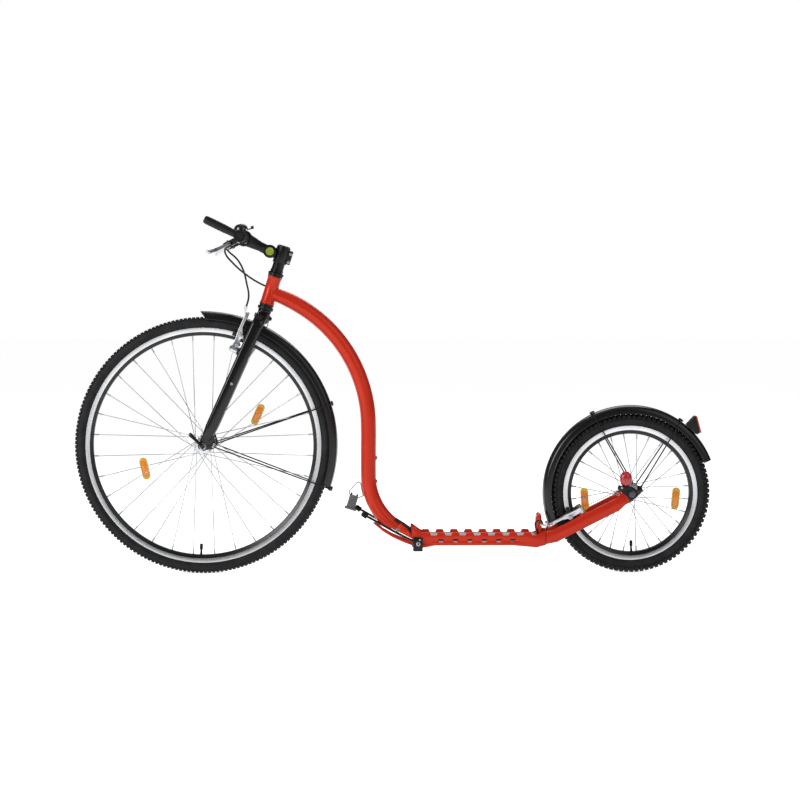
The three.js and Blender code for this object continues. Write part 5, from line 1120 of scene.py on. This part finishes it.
def make_levers():
    """Brake perches with their adjusters, and the two levers."""
    knob = [(0, 79), (4.6, 79), (5.4, 79.8)] + grooves(5.4, 0.5, (81.4, 84.4, 87.4), 1.4, 0.4)
    knob += [(5.4, 90.4), (4.6, 91.2), (0, 91.2)]
    for side_name, side in SIDES:
        recast(f"brake_perch_{side_name}", "forged", "satin black", STEERING, 1.0, 45)
        place = at_point(lever_frame, HOUSING_X, 0, 0) @ ACROSS
        finish(turned("brake_adjuster", on_side(side, knob), place, 20, 25), "satin alloy", STEERING)
        pin_x, pin_y, clamp_y = LEVER_PIN_X, side * 124, side * 135.5
        for up in (-1, 1):
            screw("lever_pin_head", STEERING, lever_frame, (pin_x, pin_y, up * 7.8), (pin_x, pin_y, up * 40), 3.8, 2.2)
        screw("perch_clamp_bolt", STEERING, lever_frame, (2, clamp_y, -16.2), (2, clamp_y, -60), 3.6, 3)
        recast(f"brake_lever_{side_name}", "cast", "satin alloy", f"lever_{side_name}", 1.5, 40)


def make_bell():
    """A low bell on its clamp, with the thumb striker beside it."""
    seat = at_point(bell_frame, 0, -92, 0)
    strap = [(13.1, -5.6), (15.2, -5.6), (15.7, -5), (15.7, 5), (15.2, 5.6), (13.1, 5.6)]
    ring = turned("bell_strap", strap, seat @ ACROSS, 48, 28)
    foot = turned("bell_foot", [(0, 13.8), (13.6, 13.8), (14, 14.6), (13, 17.4), (13, 20.4), (0, 20.4)], seat, 48, 28)
    finish(fuse("bell_clamp", ring, foot), "moulded black", STEERING)
    dome = turned("bell_dome", [
        (0, 20.6), (17.4, 20.6), (18.6, 20.2), (19, 20.8), (19, 22), (18.6, 23.8), (17.8, 27), (16.2, 30.2),
        (13.6, 33.1), (10.2, 35.2), (6.4, 36.4), (3.4, 36.7), (3.1, 36.1), (0, 36.1)], seat, 72, 28)
    finish(dome, "smoked alloy", STEERING, "bell")
    recast("bell_thumb", "curved", "moulded black", "bell_striker", 0.7, 45)


# Mudguards and their stays

GUARDS = {
    "front": {
        "place": front_wheel_frame, "radius": 363, "edge": 341, "half": 24, "from": 92.4, "to": -29,
        "arms": STEERING, "base": leg_frame, "stays": (("upper", 18, 26, 18), ("lower", -19, 26, 11)),
    },
    "rear": {
        "place": rear_wheel_frame, "radius": 238.5, "edge": 215.5, "half": 26, "from": 201.4, "to": 22.2,
        "arms": FRAME, "base": arm_frame, "stays": (("front", 115.5, 16, 13), ("back", 55, 26, 4)),
    },
}
SHEET = 1.6
STAY_RADIUS = 1.8
EYE_Y = 60.5


def guard_section(guard):
    """A thin sheet with rounded shoulders and a low crease along its middle."""
    radius, edge, half = guard["radius"], guard["edge"], guard["half"]
    deep = radius - edge
    wall = [(edge + deep * rise, half * share) for rise, share in (
        (0, 1), (0.3, 0.985), (0.55, 0.94), (0.74, 0.84), (0.86, 0.68), (0.93, 0.46), (0.96, 0.2), (1, 0))]
    lining = [(r if r == edge else r - SHEET * 0.9, max(0, y - SHEET * (1 if r < edge + deep * 0.8 else 0.4)))
              for r, y in wall]
    return on_side(-1, wall[:-1]) + wall[::-1] + lining + on_side(-1, lining[-2::-1])


def make_guard(end):
    """One mudguard with its rolled edges and its bracket."""
    guard = GUARDS[end]
    sweep = (guard["place"], guard["from"], guard["to"])
    parts = [spun(f"{end}_sheet", guard_section(guard), *sweep)]
    for side in (-1, 1):
        lip = arc(guard["edge"] + 0.6, side * (guard["half"] - 0.7), 1.1, 0, 320, 8)
        parts.append(spun("guard_lip", lip, *sweep))
    if end == "front":
        for part in parts:
            cut_below(part, spot(-7.6, 0, 711), (0.815, 0, 0.58))
        tab = block("guard_tab", steering_frame, (17.3, -7, -17), (19.3, 7, 21), 0.8)
    else:
        tab = plate("guard_tab", rear_wheel_frame, [[
            (-233.6, -129), (-231.8, -129), (-231.8, -111.4), (-220.2, -86), (-223, -84), (-233.6, -110.6)]], 20, 0.5)
    piece = fuse(f"{end}_mudguard_rolled", parts[0], tab, *parts[1:])
    finish(piece, "mudguard black", guard["arms"], f"{end}_mudguard")


def make_stays(end):
    """Wire stays from the dropout eyelets over the mudguard, with their clips."""
    guard = GUARDS[end]
    place, y = guard["place"], guard["half"] + 1.9
    for name, angle, reach, height in guard["stays"]:
        eye = place.inverted() @ inside(guard["base"], reach, 0, height) / MM
        (low_x, low_z), (top_x, top_z) = polar(guard["edge"] + 6, angle), polar(guard["radius"] + 1.9, angle)
        near = [(eye.x, -EYE_Y, eye.z), (low_x, -y, low_z), (top_x, -y, top_z)]
        path = run(place, near + [(x, -y, z) for x, y, z in near[::-1]])
        parts = [pipe("stay_wire", bent(path, 5), STAY_RADIUS, 4, 1)]
        for turn in (SIDEWAYS, ACROSS):
            parts.append(turned("stay_eye", [
                (2.4, 58.9), (5, 58.9), (5.4, 59.3), (5.4, 61.5), (5, 62), (2.4, 62)],
                at_point(place, eye.x, 0, eye.z) @ turn, 28, 28))
        x, z = polar(guard["radius"], angle)
        clip_place = at_point(place, x, 0, z, -angle)
        parts.append(block("stay_clip", clip_place, (0.3, -7, -6.6), (5.4, 7, 6.6), 1.4, 3))
        for middle in (-15, 15):
            parts.append(block("stay_clip", clip_place, (0.3, middle - 3, -4), (3.9, middle + 3, 4)))
        piece = fuse(f"{end}_mudguard_stay_{name}_wired", *parts)
        finish(piece, "satin black", guard["arms"], f"{end}_mudguard_stay_{name}")
        screw("stay_clip_bolt", guard["arms"], clip_place, (5.2, 0, 0), (40, 0, 0), 2.9, 1)


def make_mudguards():
    for end in GUARDS:
        make_guard(end)
        make_stays(end)
    recast("rear_reflector_housing", "moulded", "moulded black", FRAME, 1.4, 35)
    recast("rear_reflector_lens", "moulded", "red lens", FRAME, 1.0, 35)


# Rim brakes and their cables

BRAKES = {
    "front": {
        "body": STEERING, "place": leg_frame, "top": (371, 37.5), "pivot": 271, "spring_y": 32, "pad": (285.6, 27),
        "rim_half": 12, "boot_end": 2,
    },
    "rear": {
        "body": FRAME, "place": arm_frame, "top": (236, 24.5), "pivot": 141, "spring_y": 21, "pad": (176.7, 17),
        "rim_half": 13, "boot_end": -14,
    },
}
WIRE_RADIUS, HOUSING_RADIUS = 0.8, 2.5
BOOT_START, FOLD = -30, 3
PAD_REACH = 1.5 + 9.2


def brake_point(end, along, out, y):
    """A point of the leg's or arm's frame: along it from the hub, out from it, and across."""
    return (-out, y, along) if end == "front" else (-along, y, out)


def on_brake(end, *points):
    return run(BRAKES[end]["place"], [brake_point(end, *point) for point in points])


def make_arms(end):
    """Two brake arms with pads, pad bolts and springs."""
    brake = BRAKES[end]
    top = (brake["top"][0] - 6, brake["top"][1])
    for side_name, side in SIDES:
        body = f"{end}_caliper_{side_name}"
        arm = recast(f"{end}_brake_arm_{side_name}", "forged", "satin alloy", body, 1.3, 50)
        paint_faces(arm, "pad rubber", lambda face: abs(face.center.y) / MM < brake["rim_half"] + PAD_REACH)
        for name, middle, y, radius, height in (
            ("pad_bolt", brake["pad"], 47.6, 5.2, 3.4), ("cable_clamp_bolt", top, 44.4, 4, 3)):
            start, towards = (brake_point(end, *middle, side * reach) for reach in (y, 90))
            screw(name, body, brake["place"], start, towards, radius, height)
        low, pivot = brake["spring_y"], brake["pivot"]
        spring = on_brake(end, (pivot + 4, low - 2, side * 35), (pivot + 24, low - 3, side * 35.2),
                          (pivot + 52, low + 4, side * 35.2))
        finish(pipe(f"{end}_brake_spring", bent(spring, 8), WIRE_RADIUS, 3, 1), "zinc steel", body)


def make_brake(end):
    """The two arms, with the wire and the folded rubber boot between them."""
    make_arms(end)
    brake = BRAKES[end]
    inner = on_brake(end, *((*brake["top"], y) for y in (-46, 0, 40)))
    finish(pipe(f"{end}_brake_wire", inner, WIRE_RADIUS, 3, 1), "zinc steel", brake["body"])
    last = brake["boot_end"]
    outline = [(0, BOOT_START - 1.5), (3, BOOT_START - 1.5)]
    for fold in range(round((last - BOOT_START) / FOLD)):
        y = BOOT_START + fold * FOLD
        outline += [(2.2, y), (3.9 - fold * 0.08, y + 1.4)]
    outline += [(1.6, last), (1.6, last + 4), (0, last + 4)]
    place = at_point(brake["place"], *brake_point(end, *brake["top"], 0))
    finish(turned(f"{end}_brake_boot", outline, place @ ACROSS, 28, 40), "soft rubber", brake["body"])


def make_noodle(end, *points):
    """The bent alloy tube that guides a cable into its brake arm, with a ferrule at its mouth."""
    name, path = f"{end}_noodle", on_brake(end, *points)
    tube = pipe(f"{name}_tube", path, 2.1, 4, 6)
    ferrule = turned(f"{name}_ferrule", [(0, -7), (3.3, -7), (3.6, -6.4), (3.6, 2), (2.8, 4), (0, 4)],
                     looking(path[0], path[1]), 28, 28)
    finish(fuse(f"{name}_with_ferrule", tube, ferrule), "satin alloy", BRAKES[end]["body"])


def housing(name, path):
    return pipe(name, path, HOUSING_RADIUS, 5, 6)


def make_cables():
    """The housings from the levers to the brakes, with their noodles and ferrules."""
    mouth = inside(lever_frame, HOUSING_X, HOUSING_Y, 0)
    mouth_x, mouth_z = (mouth.x - FRONT_HUB.x) / MM, mouth.z / MM
    bars = [(mouth_x, -HOUSING_Y, mouth_z), (mouth_x, -66, mouth_z), (62, -50, 883), (72, -36, 870), (92, -30, 852),
            (108, -32, 825), (119, -42, 785), (124.5, -54, 750)]
    first = (386, 46, -60)
    cable = housing("front_brake_cable_housing", run(bike_frame, bars) + on_brake("front", first))
    finish(cable, "housing black", STEERING, "front_brake_cable")
    make_noodle("front", first, (379, 44, -59), (373, 40.5, -54), (371, 37.7, -49), (371, 37.5, -44.6))

    front = [(mouth_x, HOUSING_Y, mouth_z), (mouth_x, 66, mouth_z), (58, 52, 881), (58, 42, 868), (78, 37, 842),
             (117, 34, 808), (154, 32, 785), (184, 34, 772), (210, 38, 758), (226, 39, 747),
             (PORT_X, 34, PORT_Z + 1), (PORT_X, 22.6, PORT_Z)]
    cable = housing("rear_brake_cable_front_housing", run(bike_frame, front))
    cable.data.materials.append(FINISHES["housing black"])
    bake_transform(cable)
    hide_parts("rear_brake_cable_front")

    rear = [(903.2, -41.2, 105.6), (903, -41.3, 114), (898, -44, 129), (899, -51, 142), (911, -57, 146)]
    first = (253, 34, -60)
    cable = housing("rear_brake_cable_rear_housing", run(bike_frame, rear) + on_brake("rear", first))
    finish(cable, "housing black", FRAME, "rear_brake_cable_rear")
    make_noodle("rear", first, (246, 29, -59.4), (239.6, 25.6, -55.6), (236.4, 24.6, -49.6), (236, 24.5, -44.6))


def make_brakes():
    for end in BRAKES:
        make_brake(end)
    make_cables()


# Rear lamp, stand, bumper and small fittings

STAND_Z = 84
BUMPER_RIBS, RIB_PITCH = 7, 4.7


def make_lamp():
    """Red lamp on its black bracket beside the near dropout, with a clear window below it."""
    recast("rear_lamp_base", "moulded", "moulded black", FRAME, 0.8, 40)
    tall = Matrix.Scale(1.3, 4, (0, 0, 1))
    lens = turned("rear_lamp_dome", [
        (0, 63.4), (16.5, 63.4), (16.5, 66), (15.9, 69.5), (14.6, 72.6), (12.6, 75.2), (9.8, 77), (6.4, 78), (0, 78.3)],
        at_point(rear_wheel_frame, -18, 0, 41) @ tall @ SIDEWAYS, 64, 60)
    cut_below(lens, inside(rear_wheel_frame, -2, 0, 20.4), (0.111, 0, 0.994))
    soften(lens, 0.5, 2, 40)
    finish(smooth(lens, 50), "red lens", FRAME, "rear_lamp_lens")
    window = plate("rear_lamp_window", at_point(rear_wheel_frame, 0, -68.5, 0), [[
        (-7, 21.4), (-2, 20.8), (9.5, 12.6), (12, 13.4), (12.4, 25), (8, 29.6), (0.4, 29.6)]], 11, 1.2)
    finish(window, "lamp window", FRAME)
    screw("lamp_bolt", FRAME, rear_wheel_frame, (-30, -77.9, 18.4), (-30, -120, 18.4), 3, 1.6)


def make_stand():
    """Folding stand: a bar through both rails, a block and a bent leg on each side, and rubber feet."""
    parts = [rod("stand_bar", bike_frame, (580, -69, STAND_Z), (580, 69, STAND_Z), 4)]
    for side_name, side in SIDES:
        inner, outer = sorted((side * 55.3, side * 67.3))
        parts.append(block("stand_block", bike_frame, (566, inner, 64), (592, outer, 102), 2.2, 3))
        end = (434.7, side * 30, 160.4) if side < 0 else (417.6, side * 30, 174)
        path = run(bike_frame, [(576, side * 61.3, 87), (522, side * 50, 113), end])
        parts.append(pipe("stand_leg", bent(path, 14, 8), 3.2, 5, 1))
        foot = turned(f"stand_foot_{side_name}", [
            (0, -9.4), (6.4, -9.4), (7.2, -8.6), (7.2, -4), (6.4, -3.4), (6.4, -2.4), (7.2, -1.8), (7, 4), (5.6, 6.6),
            (3.4, 8), (0, 8)], at_point(bike_frame, *end, 35) @ FORWARD, 32, 30)
        finish(foot, "soft rubber", "stand", slot="black_paint")
        for x, z, radius, height in ((580, STAND_Z, 5.6, 2.6), (584, 95.5, 2.8, 1.6)):
            screw("stand_bolt", "stand", bike_frame, (x, side * 67, z), (x, side * 120, z), radius, height)
    finish(fuse("folding_stand_with_blocks", *parts), "satin black", "stand", "folding_stand")


def make_bumper():
    """Ribbed rubber bumper hung on a wire bail in front of the tube."""
    parts = [block("bumper", bumper_frame, (-11.2, -9.2, -35), (11.2, 9.2, 0), 1.6)]
    for rib in range(BUMPER_RIBS):
        low = -33.6 + rib * RIB_PITCH
        parts.append(block("bumper_rib", bumper_frame, (-12, -10, low), (12, 10, low + 2.4), 0.8))
    parts.append(block("bumper_flange", bumper_frame, (-16, -12, -40), (16, 12, -34.4), 2, 3))
    for x in (-8.2, 7.8):
        knob = block("bumper_knob", bumper_frame, (x - 2.3, -5, -0.5), (x + 2.3, 5, 5), 1.2, 3)
        finish(knob, "soft rubber", FRAME)
    finish(fuse("bumper_ribbed", *parts), "bumper grey", FRAME, "bumper_and_bail")
    bail = [spot(x, 0, z) for x, z in (
        (402, 205), (398, 208), (393.1, 222), (415.9, 246), (424.7, 246), (428.5, 224), (433, 209), (414, 203))]
    finish(pipe("bumper_bail", bent(bail, 5), 1.6, 4, 1), "zinc steel", FRAME, slot="grey_rubber")


def make_fittings():
    """Bolts at the junction of tube and deck, and the cable's grommet."""
    for side in (-1, 1):
        towards = (526, side * 60, 118)
        washer = screw_shape("neck_washer", bike_frame, (526, side * 21.6, 118), towards, 6.4, 1.6)
        bolt = screw_shape("neck_bolt", bike_frame, (526, side * 23, 118), towards, 4.2, 3)
        finish(fuse("neck_bolt_with_washer", washer, bolt), "zinc steel", FRAME)
    grommet = turned("cable_grommet", [(2.7, 22.3), (4.4, 22.3), (4.4, 24), (3.4, 25.2), (2.7, 25.2)],
                     at_point(bike_frame, PORT_X, 0, PORT_Z) @ ACROSS, 28, 30)
    finish(grommet, "soft rubber", FRAME)


# The add-on: sizes and colours that a user would change, an operator for each group, and a panel


class KickBikeStage(bpy.types.PropertyGroup):
    """Camera, floor and lamps"""

    camera_back: bpy.props.FloatProperty(
        name="Camera behind front hub", description="Millimetres from the front hub towards the rear", default=371)
    camera_distance: bpy.props.FloatProperty(
        name="Camera distance", description="Millimetres from the bike's middle plane", default=7100)
    camera_height: bpy.props.FloatProperty(
        name="Camera height", description="Millimetres above the floor", default=780)
    camera_pitch: bpy.props.FloatProperty(
        name="Camera pitch", description="How far the camera looks down", default=math.radians(2.5), subtype="ANGLE")
    camera_turn: bpy.props.FloatProperty(
        name="Camera turn", description="How far the camera turns to the rear", default=math.radians(1.3),
        subtype="ANGLE")
    lens: bpy.props.FloatProperty(name="Lens", description="Focal length in millimetres", default=117.9)
    floor_colour: bpy.props.FloatVectorProperty(
        name="Floor", description="Colour of the floor", default=(0.93, 0.93, 0.93), subtype="COLOR", min=0, max=1)
    sky_strength: bpy.props.FloatProperty(
        name="Sky", description="Strength of the light from all round", default=0.3, min=0)
    key_power: bpy.props.FloatProperty(
        name="Key lamp", description="Power of the main lamp", default=115, unit="POWER", min=0)


class KickBikeColours(bpy.types.PropertyGroup):
    """Main colours"""

    frame_paint: bpy.props.FloatVectorProperty(
        name="Frame paint", description="Colour of the frame tubes and deck rails", default=(0.62, 0.024, 0.009),
        subtype="COLOR", min=0, max=1)
    black_paint: bpy.props.FloatVectorProperty(
        name="Black parts", description="Colour of the fork, bar, mudguards and other black parts",
        default=(0.006, 0.006, 0.0065), subtype="COLOR", min=0, max=1)


class KickBikeSizes(bpy.types.PropertyGroup):
    """Fine sizes of the visible pieces"""

    tread_depth: bpy.props.FloatProperty(
        name="Tread depth", description="Height of the tyre blocks in millimetres", default=3.2, min=0.5, max=5)
    spoke_radius: bpy.props.FloatProperty(
        name="Spoke radius", description="Half a spoke's thickness in millimetres", default=1.0, min=0.6, max=1.6)
    edge_softness: bpy.props.FloatProperty(
        name="Edge softness", description="Radius of the small edges in millimetres", default=0.6, min=0.2, max=1.5)


class KICKBIKE_OT_stage(bpy.types.Operator):
    """Camera, floor, backdrop and lamps"""

    bl_idname = "kickbike.stage"
    bl_label = "Stage"

    def execute(self, context):
        return make_stage()


class KICKBIKE_OT_wheels(bpy.types.Operator):
    """Tyres, rims, spokes, hubs, valves, reflectors and axles"""

    bl_idname = "kickbike.wheels"
    bl_label = "Wheels"

    def execute(self, context):
        return make_group(make_wheels)


class KICKBIKE_OT_frame(bpy.types.Operator):
    """Main tube, head tube, neck, deck, hoop and rear arms"""

    bl_idname = "kickbike.frame"
    bl_label = "Frame"

    def execute(self, context):
        return make_group(make_main_tube, make_rails, make_deck, make_hoop, make_rear_arms)


class KICKBIKE_OT_steering(bpy.types.Operator):
    """Fork, headset, stem, handlebar, levers and bell"""

    bl_idname = "kickbike.steering"
    bl_label = "Steering"

    def execute(self, context):
        return make_group(make_fork, make_headset, make_stem, make_bar, make_levers, make_bell)


class KICKBIKE_OT_mudguards(bpy.types.Operator):
    """Both mudguards, their stays and the rear reflector"""

    bl_idname = "kickbike.mudguards"
    bl_label = "Mudguards"

    def execute(self, context):
        return make_group(make_mudguards)


class KICKBIKE_OT_brakes(bpy.types.Operator):
    """Rim brakes, springs, boots, cables and noodles"""

    bl_idname = "kickbike.brakes"
    bl_label = "Brakes"

    def execute(self, context):
        return make_group(make_brakes)


class KICKBIKE_OT_details(bpy.types.Operator):
    """Rear lamp, folding stand, bumper and small fittings"""

    bl_idname = "kickbike.details"
    bl_label = "Details"

    def execute(self, context):
        return make_group(make_lamp, make_stand, make_bumper, make_fittings)


PROPERTY_GROUPS = (
    (KickBikeStage, "kick_bike_stage"), (KickBikeColours, "kick_bike_colours"), (KickBikeSizes, "kick_bike_sizes"))
OPERATORS = (
    KICKBIKE_OT_stage, KICKBIKE_OT_wheels, KICKBIKE_OT_frame, KICKBIKE_OT_steering, KICKBIKE_OT_mudguards,
    KICKBIKE_OT_brakes, KICKBIKE_OT_details)


class KICKBIKE_PT_panel(bpy.types.Panel):
    """The kick bike's pieces, colours and sizes"""

    bl_idname = "KICKBIKE_PT_panel"
    bl_label = "Kick Bike"
    bl_space_type = "VIEW_3D"
    bl_region_type = "UI"
    bl_category = "Kick Bike"

    def draw(self, context):
        for group, name in PROPERTY_GROUPS:
            box = self.layout.box()
            for setting in group.__annotations__:
                box.prop(getattr(context.scene, name), setting)
        for operator in OPERATORS:
            self.layout.operator(operator.bl_idname)


def register():
    for group, name in PROPERTY_GROUPS:
        bpy.utils.register_class(group)
        setattr(bpy.types.Scene, name, bpy.props.PointerProperty(type=group))
    for operator in OPERATORS:
        bpy.utils.register_class(operator)
    bpy.utils.register_class(KICKBIKE_PT_panel)


def unregister():
    bpy.utils.unregister_class(KICKBIKE_PT_panel)
    for operator in reversed(OPERATORS):
        bpy.utils.unregister_class(operator)
    for group, name in reversed(PROPERTY_GROUPS):
        delattr(bpy.types.Scene, name)
        bpy.utils.unregister_class(group)


def main():
    register()
    make_finishes()
    for operator in OPERATORS:
        group, name = operator.bl_idname.split(".")
        getattr(getattr(bpy.ops, group), name)()


if __name__ == "__main__":
    main()
